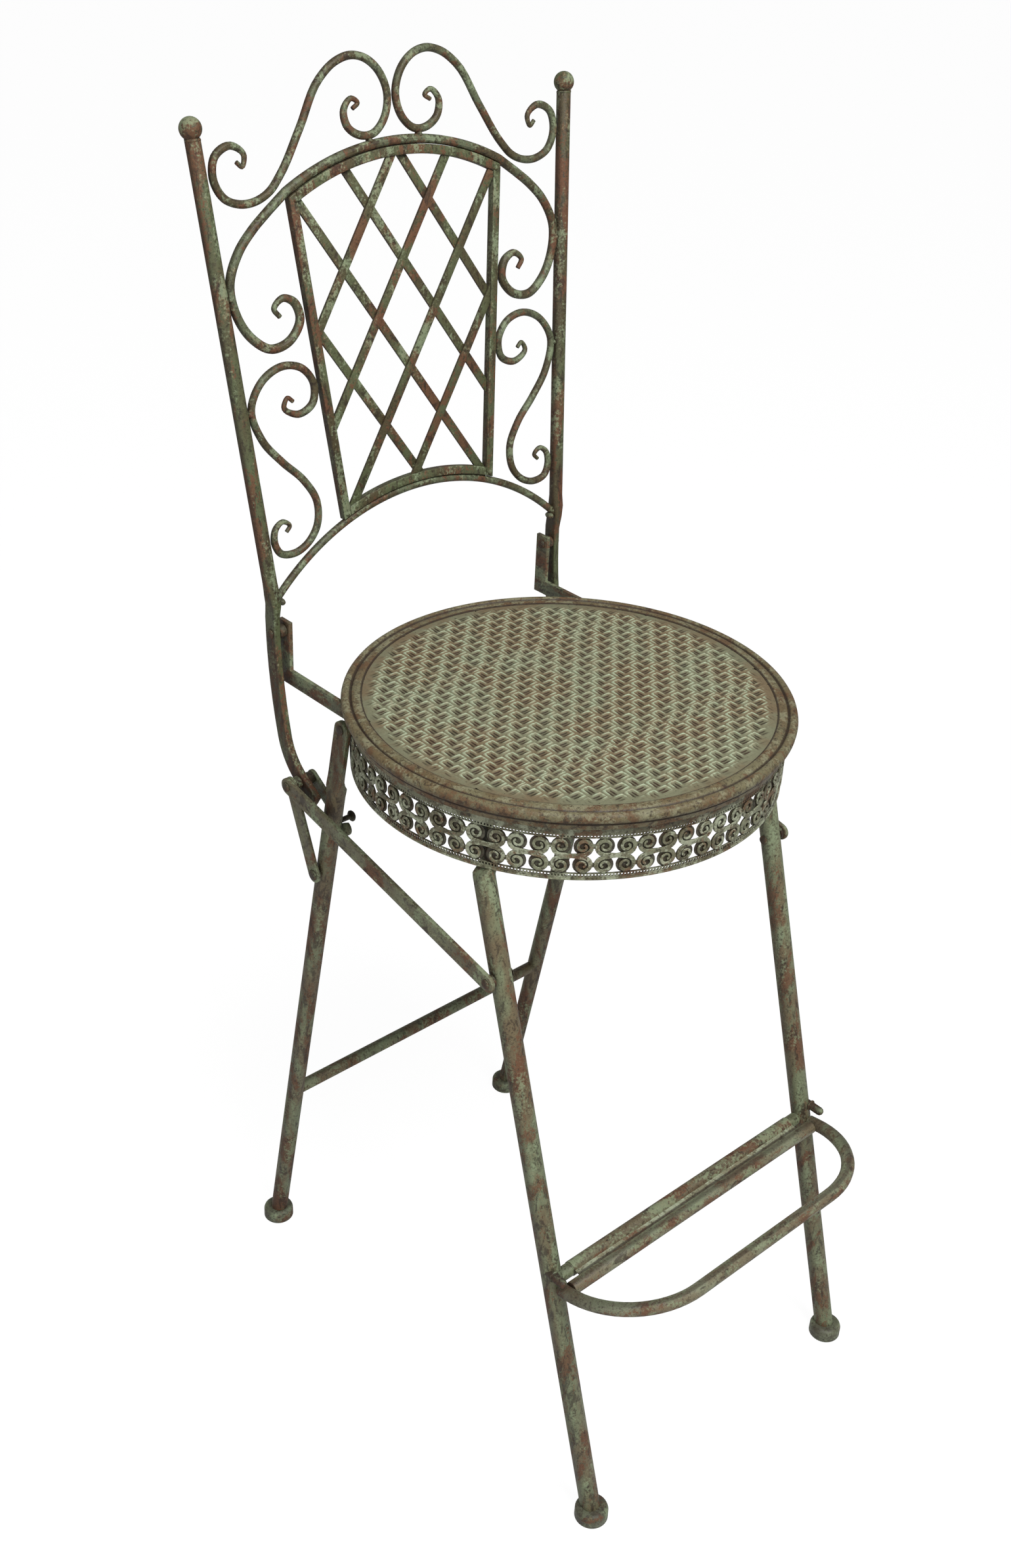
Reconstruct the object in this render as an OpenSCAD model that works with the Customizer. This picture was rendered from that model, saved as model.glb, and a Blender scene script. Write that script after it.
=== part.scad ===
/* [Back] */
// Height of the middle of the two finial balls above the floor
finial_z = 1164; // [1120:1:1200]
// Half the distance between the finial balls
finial_x = 200; // [192:1:210]
// How far the finial balls stand behind the middle of the seat
finial_y = 256; // [240:1:270]
// Diameter of a finial ball
finial_d = 18.5; // [16:0.5:24]
// Diameter of the round post tube
post_d = 13; // [11:0.5:15]
// Height at which the round tube of a post turns into its flattened end
shoulder_z = 763; // [755:1:775]
// How far that point stands behind the middle of the seat
shoulder_y = 205; // [200:1:208]
// Half the distance between the middles of the flattened post ends
post_x = 171; // [170:0.5:172]
// Width of the flattened post end, seen from the side
post_flat_w = 15; // [13:0.5:18]
// Thickness of the flattened post end
post_flat_t = 7; // [5:0.5:8]

/* [Post ends] */
// Radius of the gentle curve of a post below the shoulder
post_sweep_r = 500; // [400:10:700]
// Angle of that gentle curve
post_sweep_deg = 13.5; // [10:0.5:16]
// Radius of the bend above the cut end of a post
post_bend_r = 58; // [50:1:66]
// Angle of that bend
post_bend_deg = 45; // [40:1:50]
// Straight length from the bend to the cut end
post_tail = 25; // [18:1:28]

/* [Back ornament] */
// Diameter of the round bar of the scrolls and the big arch
scroll_d = 8; // [6:0.5:9]
// Radius of the middle of the big arch
arch_r = 258; // [240:2:280]
// Height of the top of the big arch above the shoulder, along the back
arch_h = 375; // [360:1:385]
// Height of the crest scrolls above the top of the big arch
crest_h = 70; // [60:1:78]
// Diameter of the round bar of the lower arch
lower_arch_d = 7; // [6:0.5:8]
// Radius of the middle of the lower arch
lower_arch_r = 243.5; // [230:0.5:270]
// Height of the top of the lower arch above the shoulder
lower_arch_h = 74.5; // [68:0.5:84]
// Side of the square bar round the lattice panel
panel_bar = 8; // [6:0.5:9]
// Half the width of the panel at its lower corners
panel_low_x = 84.5; // [78:0.5:90]
// Half the width of the panel at its upper corners
panel_top_x = 112; // [106:0.5:116]
// Width of a lattice strip
strip_w = 8; // [6:0.5:10]
// Thickness of a lattice strip
strip_t = 2.5; // [2:0.25:3.5]
// Angle of the lattice strips above the cross direction
strip_deg = 55.5; // [45:0.5:60]
// Distance from strip to strip, measured across the back
strip_pitch = 64.5; // [50:0.5:80]

/* [Seat] */
// Height of the crest of the seat rim above the floor
seat_z = 710; // [706:1:714]
// Outer radius of the seat rim
seat_r = 200; // [198:1:204]
// Height of the outer wall of the rim
rim_h = 16; // [14:1:18]
// Width of the rim, from its outer wall to the pan
rim_w = 18.5; // [16:0.5:24]
// How far the pan lies below the crest of the rim
pan_drop = 4; // [3:0.5:6]
// Thickness of the pressed sheet of the seat
sheet = 1.8; // [1.2:0.1:2]
// Outer radius of the pierced apron
apron_r = 194; // [194:0.5:196]
// Thickness of the apron band
apron_t = 1.5; // [1:0.25:2]
// Height of the apron band
apron_h = 52; // [44:1:56]
// Number of holes round the apron in each row
apron_holes = 34; // [24:2:40]
// Diameter of a hole in the apron
apron_hole_d = 11; // [8:0.5:13]
// Distance between the two rows of holes
apron_row = 16.5; // [14:0.5:18]

/* [Side rails] */
// Distance from the middle plane to the inner face of a side rail
rail_x = 156; // [155:0.25:156.5]
// Thickness of a side rail
rail_t = 4; // [3:0.25:4.5]
// Height of a side rail
rail_h = 14.5; // [14:0.5:16]
// Height of the top edge of a side rail
rail_top = 699.5; // [699:0.5:702]
// Height of the upright end of a side rail
upright_top = 747; // [745:1:752]

/* [Pivots] */
// How far the fold pivot stands behind the middle of the seat
fold_y = 207; // [206:0.5:208]
// Height of the fold pivot
fold_z = 738; // [732:1:742]
// Height of the strut rivet on the front leg
strut_rivet_z = 544; // [530:1:556]
// Height of the rear leg pivot
rear_pivot_z = 686; // [683:0.5:687]
// Height of the link rivet on the rear leg
link_rivet_z = 520; // [505:1:530]
// Diameter of every pivot pin
pin_d = 6; // [5:0.5:7]
// Diameter of a rivet head
head_d = 11; // [9:0.5:12]
// Height of a rivet head
head_h = 3; // [2:0.5:4]
// Diameter of a spacer sleeve
spacer_d = 12; // [10:0.5:13]

/* [Legs] */
// Outer diameter of a front leg
front_leg_d = 19; // [17:0.5:19.5]
// Half the distance between the front legs
front_leg_x = 172; // [171.5:0.25:172.5]
// How far the front feet stand in front of the middle of the seat
front_foot_y = 271; // [255:1:285]
// Forward run of a front leg for each millimetre of height
front_rake = 0.294; // [0.28:0.002:0.3]
// Outer diameter of a rear leg
rear_leg_d = 17.5; // [16:0.5:18]
// Half the distance between the rear legs
rear_leg_x = 170.5; // [170:0.25:171]
// How far the rear feet stand behind the middle of the seat
rear_foot_y = 236; // [226:1:246]
// Backward run of a rear leg for each millimetre of height
rear_rake = 0.1926; // [0.18:0.001:0.2]
// Wall of the leg tubes
leg_wall = 1.6; // [1.2:0.1:2.5]
// Thickness of the flattened tops of the legs
leg_flat_t = 6; // [4:0.5:6.25]
// Height at which the leg tubes begin to flatten
leg_flat_z = 610; // [600:1:614]
// Diameter of a foot
foot_d = 32; // [26:1:40]
// Height of a foot
foot_h = 15; // [12:1:20]

/* [Struts and links] */
// Distance from the middle plane to the inner face of a link
link_x = 182; // [181.9:0.1:183]
// Thickness of a link
link_t = 3; // [2:0.25:3.5]
// Thickness of a strut
strut_t = 4; // [3:0.25:5]
// Width of a strut and of a link
strut_w = 16; // [13:0.5:18]
// Width of the catch plate
catch_w = 14; // [12:0.5:16]
// Thickness of the catch plate
catch_t = 3; // [2:0.25:3]
// Length of the catch plate from its pivot to its nose
catch_len = 66; // [62:1:72]
// Diameter of the catch stud
stud_d = 5; // [4:0.5:6]
// Distance from the catch pivot to the stud
stud_reach = 50; // [47:0.5:53]

/* [Cross bars and footrest] */
// Diameter of the cross bars
cross_d = 13; // [11:0.5:14]
// Height of the front cross bar and of the footrest pivot
front_cross_z = 253; // [220:1:320]
// Height of the rear cross bar
rear_cross_z = 210; // [180:1:300]
// Diameter of the footrest tube
footrest_d = 13; // [11:0.5:13]
// Distance from the front cross bar to the straight footrest tube
footrest_gap = 18; // [17.5:0.25:20]
// Half the width of the footrest, between the middles of its sides
footrest_x = 172; // [168:1:176]
// Depth of the footrest bow
footrest_depth = 84; // [84:1:110]
// Corner radius of the footrest bow
footrest_corner_r = 82; // [60:1:83]
// Rise of the footrest bow towards the front
footrest_rise = 11; // [6:0.5:14]
// Distance from the middle plane to the middle of a footrest clip
clip_x = 75.5; // [75:0.5:80]
// Width of a footrest clip
clip_w = 149; // [140:1:150]
// Thickness of the sheet of a footrest clip
clip_t = 1; // [1:0.25:2]
// Diameter of the stop pegs on the front legs
peg_d = 8.5; // [7:0.5:9]
// Length of a stop peg
peg_len = 21; // [16:1:24]
// Free height between the footrest tube and the stop pegs
peg_gap = 3; // [2.5:0.25:6]

/* [Hidden] */
// Running clearance on the radius of every pin
fit = 0.05;
// Clearance between faces that slide on each other
slip = 0.3;
// Clearance between bars that touch at a weld
touch = 0.15;
fine = 48;

LEFT = -1;
RIGHT = 1;

function lerp(a, b, t) = a + (b - a) * t;
function turn(v, a) = [v.x * cos(a) - v.y * sin(a), v.x * sin(a) + v.y * cos(a)];
function arc(c, r, a0, a1, n) =
    [for (i = [0:n]) c + r * [cos(lerp(a0, a1, i / n)), sin(lerp(a0, a1, i / n))]];

// Places in the side view are [y, z], measured from the middle of the seat and the floor
front_leg_at = function(z) [-front_foot_y + front_rake * z, z];
rear_leg_at = function(z) [rear_foot_y - rear_rake * z, z];

// The flattened post end: a gentle curve, a bend and a straight tail
strip_start = [fold_y + 1.5, fold_z + 16.5];
sweep_c = strip_start - [post_sweep_r, 0];
bend_c = sweep_c + (post_sweep_r - post_bend_r) * [cos(post_sweep_deg), -sin(post_sweep_deg)];
tail_deg = post_sweep_deg + post_bend_deg;
strut_pivot = bend_c + post_bend_r * [cos(tail_deg), -sin(tail_deg)];
tail_dir = [-sin(tail_deg), -cos(tail_deg)];

// The pivots; the front leg, the strut, the post and the rail make a parallelogram
fold_pivot = [fold_y, fold_z];
strut_rivet = front_leg_at(strut_rivet_z);
front_pivot = fold_pivot + strut_rivet - strut_pivot;
rear_pivot = rear_leg_at(rear_pivot_z);
link_rivet = rear_leg_at(link_rivet_z);

// Layers from the middle plane outwards
rail_out = rail_x + rail_t;
post_in = post_x - post_flat_t / 2;
post_out = post_x + post_flat_t / 2;
front_flat_x = rail_out + 1.3;
rear_flat_x = 170;
strut_x = link_x + link_t + slip;
bolt_end = strut_x + strut_t + slip;
catch_x = rail_x + 1.5;

// The back leans about the shoulder line
back_len = norm([finial_y - shoulder_y, finial_z - shoulder_z]);
back_lean = atan2(finial_y - shoulder_y, finial_z - shoulder_z);
function post_mid(h) = lerp(post_x, finial_x, h / back_len);
function post_face(h) = post_mid(h) - post_d / 2;

arch_c = [0, arch_h - arch_r];
lower_arch_c = [0, lower_arch_h - lower_arch_r];
panel_low_h = 62;
panel_top_h = 342;
function panel_mid(h) =
    lerp(panel_low_x, panel_top_x, (h - panel_low_h) / (panel_top_h - panel_low_h));
function panel_face(h) = panel_mid(h) + panel_bar / 2;

// Outlines of the scrolls. Across, 0 touches the panel or the partner and 1 the post.
heart_line = [
    [0.25, 0.865], [0.523, 0.824], [0.791, 0.77], [0.995, 0.687], [0.962, 0.601], [0.804, 0.537],
    [0.548, 0.498], [0.257, 0.511], [0.051, 0.567], [0.106, 0.614], [0.267, 0.629],
    [0.414, 0.604], [0.348, 0.581]
];
side_line = [
    [0.372, 0.341], [0.441, 0.354], [0.517, 0.331], [0.329, 0.301], [0.082, 0.324],
    [0.02, 0.375], [0.142, 0.425], [0.417, 0.445], [0.757, 0.418], [0.99, 0.346],
    [0.909, 0.251], [0.673, 0.175], [0.408, 0.105], [0.276, 0.035], [0.336, -0.038],
    [0.526, -0.084], [0.733, -0.1], [0.922, -0.089], [0.985, -0.048], [0.933, -0.012],
    [0.822, 0.003], [0.728, -0.015], [0.79, -0.03]
];
crest_line = [
    [0.204, 0.414], [0.172, 0.471], [0.204, 0.529], [0.253, 0.414], [0.244, 0.235],
    [0.174, 0.108], [0.097, 0.11], [0.032, 0.25], [0.001, 0.514], [0.042, 0.8],
    [0.116, 0.957], [0.19, 1], [0.281, 0.943], [0.368, 0.786], [0.504, 0.271],
    [0.644, -0.22], [0.702, -0.36], [0.782, -0.45], [0.871, -0.46], [0.95, -0.371],
    [0.99, -0.129], [0.965, 0.086], [0.875, 0.186], [0.813, 0.057], [0.832, -0.057],
    [0.858, 0]
];

// The whole chair is moved so that its outline is centred over the origin
front_reach = (front_leg_at(front_cross_z).x - footrest_gap)
    - footrest_depth * cos(footrest_rise) - footrest_d / 2;
rear_reach = finial_y + finial_d / 2;
centre_y = -(front_reach + rear_reach) / 2;

iron = [0.47, 0.5, 0.42];
pale = [0.56, 0.6, 0.52];
rust = [0.4, 0.31, 0.25];

// Everything below is drawn from the middle of the seat and moved here to the final place
module chair() {
    translate([0, centre_y, 0]) children();
}

// Draws the right-hand piece, or its mirror image on the left
module on(side) {
    mirror([side < 0 ? 1 : 0, 0, 0]) children();
}

// A plate whose outline is given in the side view, from x0 outwards
module plate(x0, t) {
    translate([x0, 0, 0]) rotate([90, 0, 90]) linear_extrude(t) children();
}

// A round hole or pin along X at a place of the side view
module cross_pin(at, x0, x1, d) {
    translate([x0, at.x, at.y]) rotate([0, 90, 0]) cylinder(h = x1 - x0, d = d, $fn = fine);
}

// A round bar from a to b
module rod(a, b, d, facets = fine) {
    v = b - a;
    translate(a)
        rotate([0, acos(v.z / norm(v)), atan2(v.y, v.x)])
            cylinder(h = norm(v), d = d, $fn = facets);
}

// The outline of a flat bar with round ends
function flat_bar(a, b, w) =
    let (t = atan2(b.y - a.y, b.x - a.x))
    concat(arc(b, w / 2, t - 90, t + 90, 12), arc(a, w / 2, t + 90, t + 270, 12));

// The outline of a strip of width w along a line of points
function strip_normal(p, i) =
    let (a = p[max(i - 1, 0)], b = p[min(i + 1, len(p) - 1)], d = (b - a) / norm(b - a))
    [-d.y, d.x];
function strip_outline(p, w) = concat(
    [for (i = [0:len(p) - 1]) p[i] + strip_normal(p, i) * w / 2],
    [for (i = [len(p) - 1:-1:0]) p[i] - strip_normal(p, i) * w / 2]
);

// A riveted pin from x0 to x1 with a domed head at each end
module rivet(at, x0, x1) {
    translate([x0, at.x, at.y]) rotate([0, 90, 0]) rotate_extrude($fn = fine)
        polygon([
            [0, -head_h], [head_d * 0.28, -head_h], [head_d * 0.44, -head_h * 0.6],
            [head_d / 2, 0], [pin_d / 2, 0], [pin_d / 2, x1 - x0], [head_d / 2, x1 - x0],
            [head_d * 0.44, x1 - x0 + head_h * 0.6], [head_d * 0.28, x1 - x0 + head_h],
            [0, x1 - x0 + head_h]
        ]);
}

// Frame of the back: x across, y through it, z up along it from the shoulder line
module on_back() {
    translate([0, shoulder_y, shoulder_z]) rotate([-back_lean, 0, 0]) children();
}

// A flat piece in the plane of the back, t thick, its middle y0 behind that plane
module back_plate(t, y0 = 0) {
    on_back() translate([0, y0 + t / 2, 0]) rotate([90, 0, 0]) linear_extrude(t) children();
}

// A smooth curve through key points, n steps from one to the next
function chord(p, i) = norm(p[i + 1] - p[i]);
function slope(p, i) =
    i == 0 ? (p[1] - p[0]) / chord(p, 0)
    : i == len(p) - 1 ? (p[i] - p[i - 1]) / chord(p, i - 1)
    : let (a = chord(p, i - 1), b = chord(p, i))
      ((p[i + 1] - p[i]) * a / b + (p[i] - p[i - 1]) * b / a) / (a + b);
function curve(p, n) = concat(
    [for (i = [0:len(p) - 2], k = [0:n - 1])
        let (t = k / n, d = chord(p, i))
        p[i] * (1 + 2 * t) * pow(1 - t, 2) + slope(p, i) * d * t * pow(1 - t, 2)
        + p[i + 1] * t * t * (3 - 2 * t) + slope(p, i + 1) * d * t * t * (t - 1)],
    [p[len(p) - 1]]
);

// A round bar bent along a flat line of points in the plane of the back
module bent_bar(p, d) {
    facets = 8;
    n = len(p);
    rings = [for (i = [0:n - 1], k = [0:facets - 1])
        let (a = 360 * k / facets, m = strip_normal(p, i) * cos(a) * d / 2)
        [p[i].x + m.x, sin(a) * d / 2, p[i].y + m.y]];
    walls = [for (i = [0:n - 2], k = [0:facets - 1])
        let (a = i * facets + k, b = i * facets + (k + 1) % facets)
        [a, b, b + facets, a + facets]];
    first = [[for (k = [facets - 1:-1:0]) k]];
    last = [[for (k = [0:facets - 1]) (n - 1) * facets + k]];
    on_back() polyhedron(rings, concat(walls, first, last), convexity = 10);
}

// Turns shares into places: from a face on the inner side to the face of the post
function panel_to_post(line) = [for (q = line)
    let (h = lerp(lower_arch_h, arch_h, q.y), r = scroll_d / 2 + touch)
    [lerp(panel_face(h) + r, post_face(h) - r, q.x), h]];
function middle_to_post(line) = [for (q = line)
    let (h = arch_h + crest_h * q.y, r = scroll_d / 2 + touch)
    [lerp(r, post_face(h) - r, q.x), h]];

// A back post: round tube above, flattened, bent and drilled below
module post() {
    line = concat(
        [strip_start + [0, 9]],
        arc(sweep_c, post_sweep_r, 0, -post_sweep_deg, 8),
        arc(bend_c, post_bend_r, -post_sweep_deg - 4, -tail_deg, 10),
        [strut_pivot + tail_dir * post_tail]
    );
    on_back() rod([post_x, 0, 0], [finial_x, 0, back_len - finial_d * 0.35], post_d);
    difference() {
        union() {
            translate([post_x, shoulder_y, shoulder_z]) sphere(d = post_d, $fn = fine);
            plate(post_in, post_flat_t) polygon(strip_outline(line, post_flat_w));
        }
        cross_pin(fold_pivot, post_in - 1, post_out + 1, pin_d + 2 * fit);
        cross_pin(strut_pivot, post_in - 1, post_out + 1, pin_d + 2 * fit);
    }
}

// A ball that caps the post
module finial() {
    on_back() difference() {
        translate([finial_x, 0, back_len]) sphere(d = finial_d, $fn = fine);
        rod([post_x, 0, 0], [finial_x, 0, back_len - finial_d * 0.35 + 0.02], post_d + 0.04);
    }
}

// The big arch: one bar, curled into half a heart at each end
module big_arch() {
    meet_deg = 27;
    crown = [for (a = [0:3:meet_deg]) arch_c + arch_r * [sin(a), cos(a)]];
    half = concat(crown, curve(panel_to_post(heart_line), 4));
    whole = concat([for (i = [len(half) - 1:-1:1]) [-half[i].x, half[i].y]], half);
    bent_bar(whole, scroll_d);
}

module crest_scroll() {
    bent_bar(curve(middle_to_post(crest_line), 3), scroll_d);
}

module side_scroll() {
    bent_bar(curve(panel_to_post(side_line), 4), scroll_d);
}

// Everything between the side bars of the panel
module panel_inside() {
    low = lower_arch_h - 60;
    high = arch_h + 20;
    gap = panel_bar / 2 + touch;
    polygon([
        [-panel_mid(low) + gap, low], [panel_mid(low) - gap, low],
        [panel_mid(high) - gap, high], [-panel_mid(high) + gap, high]
    ]);
}

// A ring in the plane of the back
module back_ring(c, r_in, r_out) {
    translate(c) difference() {
        circle(r_out, $fn = 180);
        circle(r_in, $fn = 180);
    }
}

rail_top_out = arch_r - scroll_d / 2 - touch;
rail_bottom_in = lower_arch_r + lower_arch_d / 2 + touch;

module panel_rail_top() {
    back_plate(panel_bar) intersection() {
        back_ring(arch_c, rail_top_out - panel_bar, rail_top_out);
        panel_inside();
        translate([-panel_top_x * 2, arch_c.y + arch_r * 0.7]) square([panel_top_x * 4, arch_r]);
    }
}

module panel_rail_bottom() {
    back_plate(panel_bar) intersection() {
        back_ring(lower_arch_c, rail_bottom_in, rail_bottom_in + panel_bar);
        panel_inside();
        translate([-panel_top_x * 2, lower_arch_c.y + lower_arch_r * 0.7])
            square([panel_top_x * 4, lower_arch_r]);
    }
}

// A side bar runs from the lower arch to the big arch
module panel_bar_side() {
    low = lower_arch_h - 60;
    high = arch_h + 20;
    half = panel_bar / 2;
    back_plate(panel_bar) difference() {
        intersection() {
            polygon([
                [panel_mid(low) - half, low], [panel_mid(low) + half, low],
                [panel_mid(high) + half, high], [panel_mid(high) - half, high]
            ]);
            translate(arch_c) circle(rail_top_out, $fn = 180);
        }
        translate(lower_arch_c) circle(rail_bottom_in, $fn = 180);
    }
}

// One layer of the lattice: parallel strips, all leaning to the same side
module lattice(side, y0) {
    knot = lerp(lower_arch_h, arch_h, 0.664);
    back_plate(strip_t, y0) difference() {
        intersection() {
            for (i = [-1:2])
                translate([side * (-3 + i * strip_pitch), knot]) rotate(side * strip_deg)
                    square([arch_h * 1.4, strip_w], center = true);
            panel_inside();
            translate(arch_c) circle(rail_top_out - panel_bar - touch, $fn = 180);
        }
        translate(lower_arch_c) circle(rail_bottom_in + panel_bar + touch, $fn = 180);
    }
}

// The lower arch springs from post to post
module lower_arch() {
    reach = asin((post_face(10) - touch - 1.4) / lower_arch_r);
    bent_bar([for (a = [-reach:reach / 16:reach + 0.01])
        lower_arch_c + lower_arch_r * [sin(a), cos(a)]], lower_arch_d);
}

// Fold rivets: head, rail, spacer, post, head
module fold_rivet() {
    rivet(fold_pivot, rail_x - slip, post_out + slip);
    cross_pin(fold_pivot, rail_out + slip, post_in - slip, spacer_d);
}

// Strut bolts: post, spacer, link and strut; the left one also carries the catch
module strut_bolt(side) {
    start = side == LEFT ? catch_x - slip : post_in - slip;
    rivet(strut_pivot, start, bolt_end);
    cross_pin(strut_pivot, post_out + slip, link_x - slip, spacer_d);
    if (side == LEFT)
        cross_pin(strut_pivot, catch_x + catch_t + slip, post_in - slip, spacer_d);
}

// Heights of the seat sheet
pan_z = seat_z - pan_drop;
rim_in = seat_r - rim_w;

// The round pressed pan that carries the woven pattern
module seat_pan() {
    translate([0, 0, pan_z - sheet]) cylinder(h = sheet, r = rim_in - touch, $fn = 180);
}

// The rim: a rolled sheet ring with a bead inside its crest
module seat_rim() {
    half = sheet / 2;
    line = [
        [rim_in + half, pan_z - half], [lerp(rim_in, seat_r, 0.2), pan_z + 0.4],
        [lerp(rim_in, seat_r, 0.32), pan_z + 0.8], [lerp(rim_in, seat_r, 0.44), pan_z + 0.2],
        [lerp(rim_in, seat_r, 0.55), pan_z - 2.2], [lerp(rim_in, seat_r, 0.66), seat_z - 2.4],
        [lerp(rim_in, seat_r, 0.78), seat_z - half - 0.2],
        [lerp(rim_in, seat_r, 0.86), seat_z - half - 0.9],
        [seat_r - half - 0.8, seat_z - 4], [seat_r - half, seat_z - 7],
        [seat_r - half, seat_z - rim_h]
    ];
    difference() {
        rotate_extrude($fn = 180) polygon(strip_outline(line, sheet));
        for (side = [LEFT, RIGHT]) on(side) rail_notch();
    }
}

// Room for a side rail to pass through the rim and the apron
module rail_notch() {
    translate([rail_x - 1, 0, rail_top - rail_h - 1])
        cube([rail_t + 2, seat_r, rail_h + 2]);
}

// The apron: a band under the rim with two rows of holes
apron_top = seat_z - rim_h - touch;
apron_low = apron_top - apron_h;
module seat_apron() {
    row_z = apron_low + 8.5 + apron_row / 2;
    difference() {
        translate([0, 0, apron_low]) cylinder(h = apron_h, r = apron_r, $fn = 180);
        translate([0, 0, apron_low - 1])
            cylinder(h = apron_h + 2, r = apron_r - apron_t, $fn = 180);
        for (row = [0, 1], i = [0:apron_holes - 1])
            rotate([0, 90, (i + row / 2) * 360 / apron_holes])
                translate([-row_z - row * apron_row, 0, apron_r - 8])
                    cylinder(h = 16, d = apron_hole_d, $fn = 24);
        for (side = [LEFT, RIGHT]) on(side) {
            rail_notch();
            cross_pin(rear_pivot, rail_out, seat_r, spacer_d + 2);
        }
    }
}

// A side rail: a flat bar under the seat, turned up to the fold pivot, with a front lug
module side_rail() {
    w = rail_h + 1;
    rear = fold_y + w / 2;
    front = front_pivot.x - 9;
    mid = rail_top - rail_h / 2;
    difference() {
        plate(rail_x, rail_t) union() {
            translate([front, rail_top - rail_h]) square([rear - front, rail_h]);
            translate([rear - w, rail_top - rail_h]) square([w, upright_top - rail_top + rail_h]);
            translate([front, front_pivot.y]) square([18, mid - front_pivot.y]);
            polygon(arc(front_pivot, 9, 180, 360, 16));
        }
        cross_pin(fold_pivot, rail_x - 1, rail_out + 1, pin_d + 2 * fit);
        cross_pin(front_pivot, rail_x - 1, rail_out + 1, pin_d + 2 * fit);
        cross_pin(rear_pivot, rail_x - 1, rail_out + 1, pin_d + 2 * fit);
    }
}

// Front leg rivets: rail, spacer, leg
module front_leg_rivet() {
    rivet(front_pivot, rail_x - slip, front_flat_x + leg_flat_t + slip);
    cross_pin(front_pivot, rail_out + slip, front_flat_x - slip, spacer_d);
}

// Rear leg rivets reach from the rail through the apron to the leg outside it
module rear_leg_rivet() {
    rivet(rear_pivot, rail_x - slip, rear_flat_x + leg_flat_t + slip);
    cross_pin(rear_pivot, rail_out + slip, rear_flat_x - slip, spacer_d);
}

// A leg tube in its own line, hollow and open at the foot
module leg_tube(x, low, high, d) {
    a = [x, low.x, low.y];
    b = [x, high.x, high.y];
    difference() {
        rod(a, b, d);
        rod(a - (b - a) / norm(b - a), b - (b - a) / norm(b - a) * 3, d - 2 * leg_wall);
    }
}

// A leg top: the tube is pressed flat and its end is rounded about the pivot
module leg_top(x, flat_x, from, pivot, d, w) {
    press = 26;
    inset = 0.05;
    up = [pivot.x - from.x, pivot.y - from.y] / norm(pivot - from);
    hull() {
        rod([x, from.x, from.y] - [0, up.x, up.y], [x, from.x, from.y], d - 4 * inset, 32);
        plate(flat_x + inset, leg_flat_t - 2 * inset)
            polygon(flat_bar(from + up * press, from + up * (press + 2), w - 2 * inset));
    }
    plate(flat_x, leg_flat_t) polygon(flat_bar(from + up * (press - 3), pivot, w));
}

// Height of the open lower ends of the leg tubes inside the feet
foot_line = 5;
// Width of the flattened leg tops; the rear ones stay below the rim
front_flat_w = 17;
rear_flat_w = 2 * (seat_z - rim_h - rear_pivot_z) - 1.2;

module front_leg() {
    low = front_leg_at(foot_line);
    from = front_leg_at(leg_flat_z);
    difference() {
        union() {
            leg_tube(front_leg_x, low, from, front_leg_d);
            leg_top(front_leg_x, front_flat_x, from, front_pivot, front_leg_d, front_flat_w);
        }
        cross_pin(front_pivot, rail_x, seat_r, pin_d + 2 * fit);
        cross_pin(strut_rivet, rail_x, seat_r, pin_d + 2 * fit);
    }
}

module rear_leg(side) {
    low = rear_leg_at(foot_line);
    from = rear_leg_at(leg_flat_z);
    difference() {
        union() {
            leg_tube(rear_leg_x, low, from, rear_leg_d);
            leg_top(rear_leg_x, rear_flat_x, from, rear_pivot, rear_leg_d, rear_flat_w);
        }
        cross_pin(rear_pivot, rail_x, seat_r, pin_d + 2 * fit);
        if (side == LEFT)
            cross_pin(stud_at, rail_x, rear_leg_x, stud_d + 2 * fit);
    }
}

// Cross bars end in fish mouths that fit the legs
module cross_bar(at, x, low, high, leg_d) {
    difference() {
        cross_pin(at, -x, x, cross_d);
        for (side = [LEFT, RIGHT]) on(side)
            rod([x, low.x, low.y], [x, high.x, high.y], leg_d + 2 * touch);
    }
}

module front_cross_bar() {
    cross_bar(front_leg_at(front_cross_z), front_leg_x, front_leg_at(100), front_leg_at(400),
        front_leg_d);
}

module rear_cross_bar() {
    cross_bar(rear_leg_at(rear_cross_z), rear_leg_x, rear_leg_at(100), rear_leg_at(400),
        rear_leg_d);
}

// A foot: a turned puck with a slanted socket for the leg
module foot(x, low, high, leg_d) {
    difference() {
        translate([x, low.x, 0]) rotate_extrude($fn = fine) polygon([
            [0, 0], [foot_d / 2 - 1.5, 0], [foot_d / 2, 1.5], [foot_d / 2, foot_h - 4],
            [foot_d / 2 - 1.2, foot_h - 1.5], [foot_d / 2 - 4, foot_h], [0, foot_h]
        ]);
        rod([x, low.x, low.y], [x, high.x, high.y], leg_d + 2 * fit);
    }
}

module front_foot() {
    foot(front_leg_x, front_leg_at(foot_line - 0.2), front_leg_at(60), front_leg_d);
}

module rear_foot() {
    foot(rear_leg_x, rear_leg_at(foot_line - 0.2), rear_leg_at(60), rear_leg_d);
}

// The footrest turns on the front cross bar
footrest_pivot = front_leg_at(front_cross_z);
footrest_at = footrest_pivot - [footrest_gap, 0];

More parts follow.
